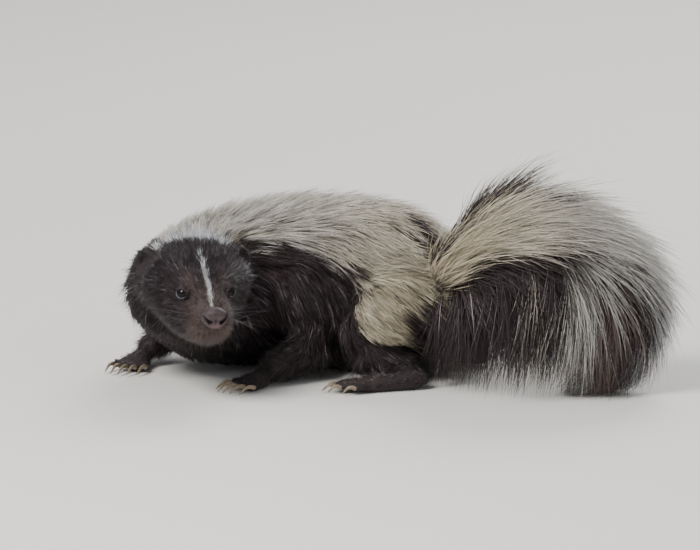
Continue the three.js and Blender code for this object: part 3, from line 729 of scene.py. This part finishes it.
def markings(points):
    """How white and how brown the coat is at places on the skin, and which form each lies on."""
    names = list(forms) + ["head"]
    local = to_head(points)
    found = {name: forms[name].nearest(points) for name in forms}
    found["head"] = head.nearest(local)
    gaps = np.stack([np.abs(found[name][2]) for name in names], 1)
    gaps[:, -1] -= 5 * smooth(-22, -12, local[:, 0])  # the temples are the head's, not the neck's
    main = gaps.argmin(1)
    share, angle, height = found["trunk"]
    turn = np.degrees(angle) % 360
    turn = np.where(turn > 270, turn - 360, turn)
    lower = read_off(STRIPE, share)
    saddle = inside(turn, 180 - lower, lower, 4)
    wedge = smooth(0.62, 0.84, share) * 20
    saddle *= 1 - inside(turn, 86 - wedge, 86 + wedge, 3) * inside(share, 0.66, 0.9, 0.03)
    share, angle, height = found["tail"]
    turn = np.degrees(angle) % 360
    top, low = read_off(TAIL_TOP, share), read_off(TAIL_LOW, share)
    far_top = 360 - top - 32 * smooth(0.34, 0.26, share)
    plume = inside(turn, top, low, 5) + inside(turn, 360 - low, far_top, 5)
    plume = np.maximum(plume, 0.55 * smooth(0.86, 0.94, share))
    plume = np.maximum(plume, inside(turn, 118, 142, 3) * inside(share, 0.045, 0.1, 0.01))
    below = smooth(0.2, 0.5, np.cos(angle)) * smooth(0.74, 0.66, share)
    plume = np.maximum(plume, below * inside(points[:, 0], *WHITE_LOCK, 1.5))
    plume = np.maximum(plume, 0.5 * below * inside(points[:, 0], *GREY_LOCK, 1))
    near_side = smooth(0.6, 0.5, share) * (turn > 180)
    plume = np.maximum(plume, near_side * inside(turn, 270, 325, 4) * inside(points[:, 0], 100, 111, 1.5))
    plume = np.maximum(plume, 0.6 * near_side * inside(turn, 280, 325, 4) * inside(points[:, 0], 81, 87, 1))
    brown_tail = 0.8 * below * inside(points[:, 0], *BROWN_LOCK, 3)
    brown_tail = np.maximum(brown_tail, 0.25 * smooth(0.6, 0.8, share))
    x, y, z = local.T
    mirrored = np.stack([x, np.abs(y), z], 1)
    ear_clear = smooth(9.5, 11.5, np.linalg.norm(mirrored - EAR_PLACE, axis=1))
    cap = smooth(-1, -3.5, x - 0.004 * y * y) * smooth(21.5, 18.5, np.abs(y)) * smooth(3, 8, z) * ear_clear
    blaze_wide = read_off(BLAZE, x, left=0, right=0)
    blaze = smooth(0.6, -0.2, np.abs(y + 0.3 * np.sin(x * 0.4)) - blaze_wide) * (blaze_wide > 0) * (z > -14)
    body = [names.index(n) for n in ("trunk", "hindleg_left_upper", "hindleg_right_upper")]
    white = np.where(np.isin(main, body), saddle, np.zeros(len(points)))
    white = np.where(main == names.index("tail"), plume, white)
    white = np.where(main == names.index("head"), np.maximum(cap, blaze), white)
    side_eye = np.linalg.norm(mirrored - EYE_PLACE, axis=1)
    muzzle = smooth(34, 52, x) * (0.5 + 0.5 * smooth(-14, -20, z)) * (np.abs(y) < 25) * (np.abs(z) < 40)
    streak = np.exp(-((mirrored - [35, 8.5, 1.0]) ** 2 @ [0.03, 0.25, 0.03]))
    brown = np.maximum(muzzle, 0.42 * streak) + 0.12 * smooth(16, 8, side_eye)
    brown = np.where(main == names.index("head"), np.clip(brown, 0, 1), 0.12)
    brown = np.where(main == names.index("tail"), np.maximum(brown_tail, 0.12), brown)
    return white, brown, main, names, found


skin_white, skin_brown, skin_main, form_names, skin_found = markings(places)


def set_values(mesh, **named):
    """Named numbers at each of a mesh's points, for its material."""
    for name, values in named.items():
        made = mesh.attributes.new(name, "FLOAT", "POINT")
        made.data.foreach_set("value", np.ascontiguousarray(values, np.float32))


set_values(skin_mesh, white=skin_white, brown=skin_brown, bare=skin_bare, rim=skin_painted_gleam)
skin_mesh.vertices.foreach_set("co", in_frame(places).ravel())
skin_mesh.update()

# Hide with its undercoat: matt, dark under the black coat and cream under the white, and smooth and damp at
# the lids and lips, with a pale painted gleam of light along the lower lids' rims.
DOWN_CLUMPS = 0.9  # to the millimetre: down is far finer, and this is as fine as it can show
hide, tree, shader = material("hide_with_undercoat", {})
coords = add(tree, "TexCoord")
white_value, brown_value, bare_value, painted_gleam_value = [
    add(tree, "Attribute", attribute_name=name).outputs["Fac"] for name in ("white", "brown", "bare", "rim")
]
down = add(tree, "TexNoise", {"Vector": coords.outputs["Object"], "Scale": 1000 * DOWN_CLUMPS, "Detail": 3})
down_value = down.outputs["Fac"]
black_hide = add(tree, "ValToRGB", {"Fac": down_value}, ((0, "#0d090a"), (1, "#2a2022")))
pale_hide = add(tree, "ValToRGB", {"Fac": down_value}, ((0, "#8d8069"), (1, "#cfc4a8")))
shown = black_hide.outputs["Color"]
# the pale blue-grey on the lower lids' rims is a painted gleam of light
for value, over in (
    (brown_value, "#3f3230"), (white_value, pale_hide.outputs["Color"]), (bare_value, "#1c1617"),
    (painted_gleam_value, "#777a8c"),
):
    shown = add(tree, "Mix", {0: value, 6: shown, 7: over}, data_type="RGBA").outputs[2]
tree.links.new(shown, shader.inputs["Base Color"])
damp = add(tree, "MapRange", {"Value": bare_value, "To Min": 0.8, "To Max": 0.5})
tree.links.new(damp.outputs["Result"], shader.inputs["Roughness"])
nap = add(tree, "Bump", {"Height": down_value, "Strength": 0.5, "Distance": 0.0006})
tree.links.new(nap.outputs["Normal"], shader.inputs["Normal"])
skin.data.materials.append(hide)
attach(skin, "root")
FLESH = ["head", "jaw", "neck", "chest", "haunches", "ear_left", "ear_right"]
FLESH += ["tail_base", "tail_middle", "tail_end"]
for name in LEGS:
    FLESH += [name + "_upper", name + "_lower"]
FLESH += ["paw_fore_left", "paw_fore_right", "paw_hind_left", "paw_hind_right"]
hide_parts(*FLESH)

# Eyes: small, nearly black and wet. Each is a ball with a clear bulging front over a dark
# brown ring, and the lids hold it in its socket.
EYES = {"eye_left": 1, "eye_right": -1}
BULGE = 0.07  # how far the clear front stands out, as a share of the ball
# A wet clear film over a black pupil: one small sharp gleam
wet_eye, tree, shader = material("wet_dark_eye", {
    "Roughness": 0.3, "Specular IOR Level": 0.1, "Coat Weight": 0.4, "Coat IOR": 1.38,
    "Coat Roughness": 0.03,
})
gaze = add(tree, "Attribute", attribute_name="gaze")
PUPIL_TO_WHITE = ((0.2, "#020202"), (0.27, "#1a0e09"), (0.5, "#0c0705"), (0.62, "#171212"))
ring = add(tree, "ValToRGB", {"Fac": gaze.outputs["Fac"]}, PUPIL_TO_WHITE)
tree.links.new(ring.outputs["Color"], shader.inputs["Base Color"])
for name, way in EYES.items():
    place, looks, inward, up = eye_frame(way)
    eye_bm = bmesh.new()
    bmesh.ops.create_uvsphere(eye_bm, u_segments=48, v_segments=32, radius=EYE_RADIUS)
    turn = np.stack([inward, np.cross(looks, inward), looks], 1)
    angles = []
    for v in eye_bm.verts:
        p = np.array(v.co)
        off = math.acos(max(-1, min(1, p[2] / EYE_RADIUS)))
        p = p * (1 + BULGE * float(smooth(0.75, 0.0, off)))
        angles.append(off / (math.pi / 2))
        v.co = in_frame(from_head(turn @ p + place))
    ball = piece_of(name + "_ball", eye_bm)
    eye_bm.free()
    set_values(ball.data, gaze=np.array(angles))
    ball.data.materials.append(wet_eye)
    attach(ball, "root")
    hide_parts(name)

# Nose: a bare, damp pad of thick skin at the tip of the snout, pebbled like leather, with two
# comma-shaped nostrils, a raised wing over each, and a cleft that runs down to the lip.
NOSE_PLACE = np.array([57.2, 0, -12.2])
NOSE_SIZE = np.array([4.8, 7.4, 5.9])
nose_bm = bmesh.new()
bmesh.ops.create_uvsphere(nose_bm, u_segments=112, v_segments=80, radius=1)
bmesh.ops.rotate(nose_bm, verts=nose_bm.verts, cent=(0, 0, 0), matrix=Matrix.Rotation(math.pi / 2, 3, "Y"))
ball = np.array([v.co for v in nose_bm.verts])
x, y, z = (np.sign(ball) * np.abs(ball) ** np.array([0.8, 0.92, 0.92]) * NOSE_SIZE).T
y = y * (1 - 0.22 * smooth(0, -6, z)) * (1 - 0.12 * smooth(2, 6, z))
side = np.abs(y)
front = smooth(-1.0, 1.5, x)
slit_top, slit_foot = np.array([6.5, 1.7]), np.array([2.9, -1.9])  # a nostril runs in and down
run = slit_foot - slit_top
t = np.clip(((side - slit_top[0]) * run[0] + (z - slit_top[1]) * run[1]) / (run @ run), 0, 1)
away = np.hypot(side - slit_top[0] - t * run[0], z - slit_top[1] - t * run[1] + 0.5 * np.sin(math.pi * t))
well = np.exp(-((away / (0.4 + 0.6 * t)) ** 4))
wing = np.exp(-(((away - 1.7) / 0.7) ** 2)) * (z > -2.5)
cleft = np.exp(-((y / 0.42) ** 2)) * smooth(1.5, -1.5, z)
x = x - ((1.0 + 1.5 * t) * well + 0.6 * cleft - 0.35 * wing) * front
# painted shade: the nostril wells are darkened where shade falls in them, more towards their foot
nostril_painted_shade = well * (0.5 + 0.45 * t) * front
pink = np.exp(-((y / 2.2) ** 2 + ((z + 3.9) / 1.5) ** 2)) * front
for v, p in zip(nose_bm.verts, in_frame(from_head(np.stack([x, y, z], 1) + NOSE_PLACE))):
    v.co = p
nose = piece_of("nose_pad", nose_bm)
nose_bm.free()
set_values(nose.data, hollow=nostril_painted_shade, pink=pink)
PEBBLES = 1.7  # to the millimetre, each about 0.6 mm
BLOTCHES = 0.42  # to the millimetre, each some 2.4 mm
# Damp skin: mauve-brown in soft blotches, flushed at the cleft, with a broad dull gleam and painted shade
# darkening the nostrils' wells
damp_pad, tree, shader = material("damp_nose_leather", {"Roughness": 0.58})
coords = add(tree, "TexCoord").outputs["Object"]
pebble = add(tree, "TexVoronoi", {"Vector": coords, "Scale": 1000 * PEBBLES}, feature="SMOOTH_F1")
blotch = add(tree, "TexNoise", {"Vector": coords, "Scale": 1000 * BLOTCHES, "Detail": 3.0})
mauve = add(tree, "ValToRGB", {"Fac": blotch.outputs["Fac"]}, ((0.3, "#241b1d"), (0.75, "#46363a")))
pink_value, nostril_shade_value = [
    add(tree, "Attribute", attribute_name=name).outputs["Fac"] for name in ("pink", "hollow")
]
shown = mauve.outputs["Color"]
# the near-black over the nostril wells is painted shade
for value, over in ((pink_value, "#63464a"), (nostril_shade_value, "#0a0607")):
    shown = add(tree, "Mix", {0: value, 6: shown, 7: over}, data_type="RGBA").outputs[2]
tree.links.new(shown, shader.inputs["Base Color"])
grain = {"Height": pebble.outputs["Distance"], "Strength": 0.35, "Distance": 0.0003}
pebbled = add(tree, "Bump", grain, invert=True)
tree.links.new(pebbled.outputs["Normal"], shader.inputs["Normal"])
nose.data.materials.append(damp_pad)
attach(nose, "root")
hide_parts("nose")

# Claws: pale horn, one out of the end of each toe, long and slightly curved on the fore feet
# for digging, short behind.
CLAW_SIZE = (1.15, 1.35)  # half its width and height at the root, mm
CLAW_ARCH = 2.4
claw_bm = bmesh.new()
for name, leg in LEGS.items():
    for line, root, tip in toe_lines(leg)[1]:
        bend = []
        for f in (0, 0.25, 0.5, 0.75, 1):
            at = root + (tip - root) * f + [0, 0, CLAW_ARCH * math.sin(math.pi * f)]
            bend.append((*at, CLAW_SIZE[0] * (1 - 0.8 * f**1.4), CLAW_SIZE[1] * (1 - 0.8 * f**1.4)))
        Form(bend, blunt=0.06).into(claw_bm, 10, 14)
for v in claw_bm.verts:
    v.co = in_frame([v.co.x, v.co.y, max(v.co.z, 0.3)])
claws = piece_of("claws", claw_bm)
claw_bm.free()
HORN_STREAKS = 0.6  # to the millimetre, each some 1.7 mm
# Horn: smooth and half glossy, streaked from brown to straw
horn, tree, shader = material("claw_horn", {"Roughness": 0.35})
coords = add(tree, "TexCoord").outputs["Object"]
fibre = add(tree, "TexNoise", {"Vector": coords, "Scale": 1000 * HORN_STREAKS, "Detail": 4.0}).outputs["Fac"]
streaked = add(tree, "ValToRGB", {"Fac": fibre}, ((0, "#4a3f36"), (1, "#a3937c")))
tree.links.new(streaked.outputs["Color"], shader.inputs["Base Color"])
ridges = add(tree, "Bump", {"Height": fibre, "Strength": 0.2, "Distance": 0.0002})
tree.links.new(ridges.outputs["Normal"], shader.inputs["Normal"])
claws.data.materials.append(horn)
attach(claws, "root")

# Whiskers: stiff tapered hairs of dark keratin, rooted in the pads on both sides of the muzzle,
# each with its own sag.
WHISKERS = 9  # on each side
WHISKER_WIDE = 0.1  # half its thickness at the root, mm
WHISKER_TAPER = 0.075
whisker_bm = bmesh.new()
pick = np.random.default_rng(12)
for way in (1, -1):
    for i in range(WHISKERS):
        seat = from_head([pick.uniform(43, 53), way * 12, pick.uniform(-19, -11)])
        root = np.array(hide_tree.find_nearest(seat.tolist())[0])
        swing = unit(np.array([pick.uniform(-0.35, 0.45), way, pick.uniform(-0.55, 0.5)]) @ HEAD_TURN.T)
        long = pick.uniform(16, 31)
        sag = pick.uniform(-1, 4)
        line = []
        for f in (0, 0.25, 0.5, 0.75, 1):
            at = root + swing * long * (f - 0.04) - [0, 0, sag * f * f]
            line.append((*at, WHISKER_WIDE - WHISKER_TAPER * f, WHISKER_WIDE - WHISKER_TAPER * f))
        Form(line, blunt=0.04, steps=24).into(whisker_bm, 5, 9)
for v in whisker_bm.verts:
    v.co = in_frame(v.co)
whiskers = piece_of("whiskers", whisker_bm)
whisker_bm.free()
# Smooth dark keratin that catches a fine line of light
whisker, tree, shader = material("whisker_keratin", {"Base Color": "#40373b", "Roughness": 0.4, "IOR": 1.55})
whiskers.data.materials.append(whisker)
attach(whiskers, "root")

# How the hair grows: at every point of the skin one hair is led out in short steps. It leaves
# at a slant, then follows the lie of whatever skin is next under it at its own height.
GUIDE_STEPS = 6
SLANTS = (0.12, 0.9)  # the least and most that a hair rises as it leaves the skin
NEAR = 80  # how far off the skin still guides it, mm
DROOP = [-0.12, 0, -1]  # the way of hair that hangs free
GUIDE_FLOOR = 1.0  # how low it may lie, mm
face_corner = np.empty(len(skin_mesh.polygons), int)
skin_mesh.polygons.foreach_get("loop_start", face_corner)
loop_verts = np.empty(len(skin_mesh.loops), int)
skin_mesh.loops.foreach_get("vertex_index", loop_verts)
face_lie = lie[loop_verts[face_corner]]
guides = np.zeros((len(places), GUIDE_STEPS + 1, 3))
heading = unit(lie + normals * np.clip(1.6 * lift / hair, *SLANTS)[:, None])
spot = places.copy()
guides[:, 0] = spot
step_long = (hair / GUIDE_STEPS)[:, None]
for step in range(1, GUIDE_STEPS + 1):
    spot = spot + heading * step_long
    spot[:, 2] = np.maximum(spot[:, 2], GUIDE_FLOOR)
    guides[:, step] = spot
    if step == GUIDE_STEPS:
        break
    hits = [hide_tree.find_nearest(p, NEAR) for p in spot.tolist()]
    under_it = np.array([hit[0] for hit in hits])
    square = np.array([hit[1] for hit in hits])
    flow = face_lie[[hit[2] for hit in hits]]
    height = ((spot - under_it) * square).sum(1)
    want = lift * (step / GUIDE_STEPS) ** 0.7 + 0.4
    steer = np.clip((want - height) / step_long[:, 0], -0.7, 0.7)[:, None]
    follow = unit(0.55 * heading + 0.45 * unit(flow + square * steer * 1.3))
    fall = unit(0.35 * heading + DROOP)
    heading = unit(follow * (1 - hang[:, None]) + fall * hang[:, None])
    low = spot[:, 2] < 2.5
    heading[low, 2] = np.maximum(heading[low, 2], 0.05)
guides -= places[:, None]

# The coat: solid guard hair in tufts, each hair a tapered spike rooted in the hide. Every tuft
# has its patch on an unwrap of the skin's own shape, one strip for each form: along it and round it.
PATCH = 0.003  # a tuft's patch on the unwrap
ROOT_DEEP = 0.8  # how far a hair's root is sunk in the skin, mm
HAIR_FLOOR = 0.9  # how low a hair may lie
TOP_BENDS, TOP_ROOM = 128, 12  # above this height tips lie over softly, within so many mm more
TAPER_FROM = 0.35  # the share of its length from which a hair thins to its tip
UNWRAP = {"trunk": (0, 0.42, 0.6, 0.58), "head": (0.62, 0.6, 0.38, 0.4), "tail": (0, 0, 0.6, 0.4)}
for i, name in enumerate(LEGS):
    UNWRAP[name + "_upper"] = (0.62, 0.15 * i, 0.17, 0.13)
    UNWRAP[name + "_lower"] = (0.8, 0.15 * i, 0.1, 0.13)
    UNWRAP[name + "_paw"] = (0.91, 0.15 * i, 0.08, 0.13)
chance = np.random.default_rng(20261125)
area = np.linalg.norm(np.cross(places[corners[:, 1]] - places[corners[:, 0]],
                               places[corners[:, 2]] - places[corners[:, 0]]), axis=1) / 2


def roots_on(density, count):
    """Evenly spread places on the skin, more where the density is higher: triangles and weights."""
    share = np.cumsum(area * density[corners].mean(1))
    pick = (np.arange(count) + chance.random(count)) / count * share[-1]
    tri = np.minimum(np.searchsorted(share, pick), len(share) - 1)
    a, b = chance.random(count), chance.random(count)
    flip = a + b > 1
    a[flip], b[flip] = 1 - a[flip], 1 - b[flip]
    return corners[tri], np.stack([1 - a - b, a, b], 1)


def grow_tufts(name, density, count, hairs, wide, spread, clump, rings, stray, wave=0.4):
    """One coat piece: `count` tufts of `hairs` hairs on the skin, each hair a closed tapered spike.

    wide is a hair's thickness and spread a tuft's radius at the root, mm; clump says how far the
    hairs draw together to the tip; stray is how far a tip strays, as a share of its length; and
    wave is how far it weaves aside, mm."""
    tri, bary = roots_on(density, count)

    def mixed(values):
        return (values[tri] * (bary if values.ndim == 1 else bary[..., None])).sum(1)

    root, out, flow, length = mixed(places), unit(mixed(normals)), unit(mixed(lie)), mixed(hair)
    line = (guides[tri] * bary[..., None, None]).sum(1)
    white, brown, main, names, found = markings(root)
    white = (white > chance.random(count) * 0.8 + 0.1).astype(float)
    aside = unit(np.cross(out, flow))

    # each hair's own place, length and bend
    T, K = count, hairs
    round_ = chance.random((T, K)) * 2 * math.pi
    off = spread * np.sqrt(chance.random((T, K)))
    offset = (np.cos(round_) * off)[..., None] * aside[:, None]
    offset = offset + (np.sin(round_) * off)[..., None] * flow[:, None]
    tuft_long = 0.82 + 0.3 * chance.random(T)
    hair_long = tuft_long[:, None] * (0.72 + 0.36 * chance.random((T, K)))
    tuft_lean = 0.6 * stray * chance.normal(size=(T, 1, 3))
    lean = tuft_lean + stray * chance.normal(size=(T, K, 3))
    s = np.linspace(0, 1, rings + 1)
    f = np.clip(s[None, None] * hair_long[..., None], 0, 1.15) * GUIDE_STEPS
    i = np.minimum(f.astype(int), GUIDE_STEPS - 1)
    w = (f - i)[..., None]
    t = np.arange(T)[:, None, None]
    path = line[t, i] * (1 - w) + line[t, i + 1] * w
    draw = 1 - clump * s**0.8
    path = path + root[:, None, None] + offset[:, :, None] * draw[:, None]
    path += lean[:, :, None] * (s**1.5)[:, None] * length[:, None, None, None]
    ripple = np.sin(s * (4 + 3 * chance.random((T, K, 1))) + 6.3 * chance.random((T, K, 1)))
    path += (wave * ripple * s)[..., None] * aside[:, None, None]
    path -= out[:, None, None] * (ROOT_DEEP * (1 - s))[:, None]
    path[..., 2] = np.maximum(path[..., 2], HAIR_FLOOR)
    over_top = np.maximum(path[..., 2] - TOP_BENDS, 0)
    path[..., 2] -= over_top - TOP_ROOM * (1 - np.exp(-over_top / TOP_ROOM))

    # a three-sided spike round each hair's line
    along = unit(np.gradient(path, axis=2))
    across = unit(np.cross(along, out[:, None, None]))
    over = np.cross(across, along)
    swell = 0.75 + 0.25 * s / TAPER_FROM
    thin = 1 - 0.75 * (np.maximum(s - TAPER_FROM, 0) / (1 - TAPER_FROM)) ** 1.5
    thick = wide / 2 * np.where(s < TAPER_FROM, swell, thin)
    thick = thick * (0.8 + 0.4 * chance.random((T, K, 1)))
    turns = np.radians([330, 210, 90])  # in this order the faces point outwards
    ring = (np.cos(turns)[:, None] * across[..., None, :] + np.sin(turns)[:, None] * over[..., None, :])
    verts = path[..., None, :] + ring * thick[..., None, None]
    body = verts[:, :, :-1].reshape(T * K, rings * 3, 3)
    tips = path[:, :, -1].reshape(T * K, 1, 3)
    verts = np.concatenate([body, tips], 1)
    each = rings * 3 + 1
    quads, spikes = [], []
    for r in range(rings - 1):
        for k in range(3):
            n = (k + 1) % 3
            quads.append([r * 3 + k, r * 3 + n, r * 3 + 3 + n, r * 3 + 3 + k])
    for k in range(3):
        spikes.append([rings * 3 - 3 + k, rings * 3 - 3 + (k + 1) % 3, rings * 3])
    loops = np.array([v for q in quads for v in q] + [v for q in spikes for v in q] + [2, 1, 0])
    sizes = np.array([4] * len(quads) + [3] * (len(spikes) + 1))
    total = T * K
    mesh = bpy.data.meshes.new(name)
    mesh.vertices.add(total * each)
    mesh.vertices.foreach_set("co", in_frame(verts.reshape(-1, 3)).astype(np.float32).ravel())
    mesh.loops.add(total * len(loops))
    all_loops = (np.arange(total)[:, None] * each + loops).ravel()
    mesh.loops.foreach_set("vertex_index", all_loops.astype(np.int32))
    mesh.polygons.add(total * len(sizes))
    starts = np.r_[0, np.cumsum(sizes)[:-1]]
    mesh.polygons.foreach_set(
        "loop_start", (np.arange(total)[:, None] * len(loops) + starts).ravel().astype(np.int32)
    )
    mesh.update(calc_edges=True)
    mesh.shade_smooth()

    # what the material reads, and each tuft's patch on the unwrap
    up_hair = np.r_[np.repeat(s[:-1], 3), 1.0]
    tuft_tone = chance.random(T)
    tone = 0.5 * tuft_tone[:, None] + 0.5 * chance.random((T, K))
    set_values(
        mesh, up_hair=np.tile(up_hair, total), tone=np.repeat(tone.reshape(total), each),
        white=np.repeat(white, K * each), brown=np.repeat(brown, K * each),
        warm=np.repeat(warmth(main, names, found), K * each),
    )
    cell = np.array([UNWRAP[n] for n in names])[main]
    share = np.stack([found[n][0] for n in names])[main, np.arange(T)]
    angle = np.stack([found[n][1] for n in names])[main, np.arange(T)] / (2 * math.pi) % 1
    corner = cell[:, :2] + np.stack([share, angle], 1) * (cell[:, 2:] - 0.004)
    u = corner[:, None, None, 0] + PATCH * ((np.arange(K)[:, None] + 0.5) / K) + 0 * up_hair
    v = corner[:, None, None, 1] + PATCH * up_hair + 0 * u
    uv = np.stack([u, v], -1).reshape(-1, 2)[all_loops]
    mesh.uv_layers.new(name="OFBake").uv.foreach_set("vector", uv.astype(np.float32).ravel())
    piece = bpy.data.objects.new(name, mesh)
    bpy.context.scene.collection.objects.link(piece)
    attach(piece, "root")
    return piece


def warmth(main, names, found):
    """Where white hair is cream (1) or a cool grey-white (0)."""
    trunk_warm = read_off([(0, 0.5), (0.2, 0.45), (0.5, 0.5), (0.8, 0.75), (1, 0.95)], found["trunk"][0])
    tail_warm = read_off([(0, 0.95), (0.15, 0.85), (0.35, 0.45), (0.6, 0.15), (1, 0.1)], found["tail"][0])
    warm = np.where(main == names.index("tail"), tail_warm, trunk_warm)
    return np.where(main == names.index("head"), 0.0, warm)


# Guard hair: keratin, round and smooth, so each hair throws a fine gleam along its length.
# Black hair is nearly black with a plum-brown cast, its few lightest hairs partly silver hairs and partly
# painted glints of light; white hair is cream, cooler at the tips.
guard_hair, tree, shader = material("guard_hair_keratin", {"IOR": 1.5})
white_value, brown_value, tone, warm, up_value = [
    add(tree, "Attribute", attribute_name=name).outputs["Fac"]
    for name in ("white", "brown", "tone", "warm", "up_hair")
]
HAIR_COLOURS = {  # from the darkest hair to the lightest
    # past tone 0.82 the black hair turns light: partly silver hairs, partly painted glints of light on hair
    # tips
    "black": ((0.15, "#0e0a0c"), (0.7, "#2b2127"), (0.82, "#43383f"), (1, "#b3a8b2")),
    "brown": ((0, "#241c1d"), (1, "#917c74")),
    "cool": ((0, "#96969f"), (1, "#f3f6f8")),
    "cream": ((0, "#9c8a68"), (1, "#f5ebd0")),
}
tint = {
    name: add(tree, "ValToRGB", {"Fac": tone}, stops).outputs["Color"] for name, stops in HAIR_COLOURS.items()
}
dark = add(tree, "Mix", {0: brown_value, 6: tint["black"], 7: tint["brown"]}, data_type="RGBA")
pale = add(tree, "Mix", {0: warm, 6: tint["cool"], 7: tint["cream"]}, data_type="RGBA")
# white hair is shaded by its neighbours towards the root
shade = add(tree, "MapRange", {"Value": up_value, "From Max": 0.7, "To Min": 0.4, "To Max": 1.0})
shaded = {0: 1.0, 6: pale.outputs[2], 7: shade.outputs["Result"]}
pale_up = add(tree, "Mix", shaded, data_type="RGBA", blend_type="MULTIPLY")
coat = add(tree, "Mix", {0: white_value, 6: dark.outputs[2], 7: pale_up.outputs[2]}, data_type="RGBA")
tree.links.new(coat.outputs[2], shader.inputs["Base Color"])
gloss = add(tree, "MapRange", {"Value": white_value, "To Min": 0.42, "To Max": 0.6})
tree.links.new(gloss.outputs["Result"], shader.inputs["Roughness"])


# The ten pieces of coat, by where they grow: dense short fur on the head and feet, long coat
# on the body, and the tail's plume. None grows on the lids, and little in the ears' cups.
def zone(*picked):
    """1 at the skin's points that belong to some of the forms."""
    return np.isin(skin_main, [form_names.index(n) for n in picked]).astype(float)


open_air = smooth(2.0, 5.0, places[:, 2] + 6 * (normals[:, 2] > -0.3))
trunk_share, tail_share = skin_found["trunk"][0], skin_found["tail"][0]
body_zone = (zone("trunk") + zone(*[n + "_upper" for n in LEGS])) * open_air
in_lids = 1 - np.clip(skin_bare, 0, 1)
from_ear = (on_head - np.array(EAR_PLACE) * ear_side) * ear_side
ear_axis = unit(np.array([EAR_FACES]))[0]
off_axis = np.linalg.norm(from_ear - (from_ear @ ear_axis)[:, None] * ear_axis, axis=1)
faces_out = ((normals @ HEAD_TURN) * ear_side) @ ear_axis
ear_cup = smooth(7.5, 5.5, off_axis) * smooth(0.2, 0.5, faces_out) * (ear_far < 12)
head_zone = zone("head") * in_lids
face_zone = head_zone * smooth(10, 14, on_head[:, 0]) * (1 + 0.8 * smooth(20, 45, on_head[:, 0]))
crown_zone = head_zone * smooth(14, 10, on_head[:, 0]) * (1 - 0.9 * ear_cup)
low_zone = zone(*[n + end for n in LEGS for end in ("_lower", "_paw")]) * open_air
curtain_zone = zone("tail") * smooth(0.4, 0.6, hang)
tail_zone = zone("tail") * (1 - 0.8 * hang) * (1 + 0.6 * smooth(0.7, 0.9, tail_share))
quarter = [inside(trunk_share, a, b, 0.004) for a, b in ((-1, 0.32), (0.32, 0.55), (0.55, 0.755), (0.755, 2))]
tail_half = [tail_zone * smooth(0.42, 0.4, tail_share), tail_zone * smooth(0.4, 0.42, tail_share)]
SHORT = {"clump": 0.25, "stray": 0.15, "wave": 0.1}
LONG = {"hairs": 12, "wide": 0.37, "spread": 2.9, "clump": 0.35, "rings": 3, "stray": 0.055}
PLUME = {"hairs": 12, "wide": 0.37, "spread": 3.0, "clump": 0.25, "rings": 4, "stray": 0.08}
COAT = [
    (grow_tufts("short_fur_face", face_zone, 4600, 8, 0.36, 1.1, rings=1, **SHORT), "short_fur"),
    (grow_tufts("short_fur_crown", crown_zone, 1100, 10, 0.3, 1.4, rings=2, **SHORT), "short_fur"),
    (grow_tufts("short_fur_feet", low_zone, 1500, 9, 0.3, 1.1, rings=1, **SHORT), "short_fur"),
    (grow_tufts("coat_neck", body_zone * quarter[0], 800, **LONG), "long_coat"),
    (grow_tufts("coat_shoulders", body_zone * quarter[1], 900, **LONG), "long_coat"),
    (grow_tufts("coat_back", body_zone * quarter[2], 950, **LONG), "long_coat"),
    (grow_tufts("coat_rump", body_zone * quarter[3], 960, **LONG), "long_coat"),
    (grow_tufts("tail_plume_base", tail_half[0], 640, **PLUME), "long_coat"),
    (grow_tufts("tail_plume_end", tail_half[1], 640, **PLUME), "long_coat"),
    (grow_tufts("tail_curtain", curtain_zone, 560, **PLUME), "long_coat"),
]
for piece, slot in COAT:
    piece.data.materials.append(guard_hair)
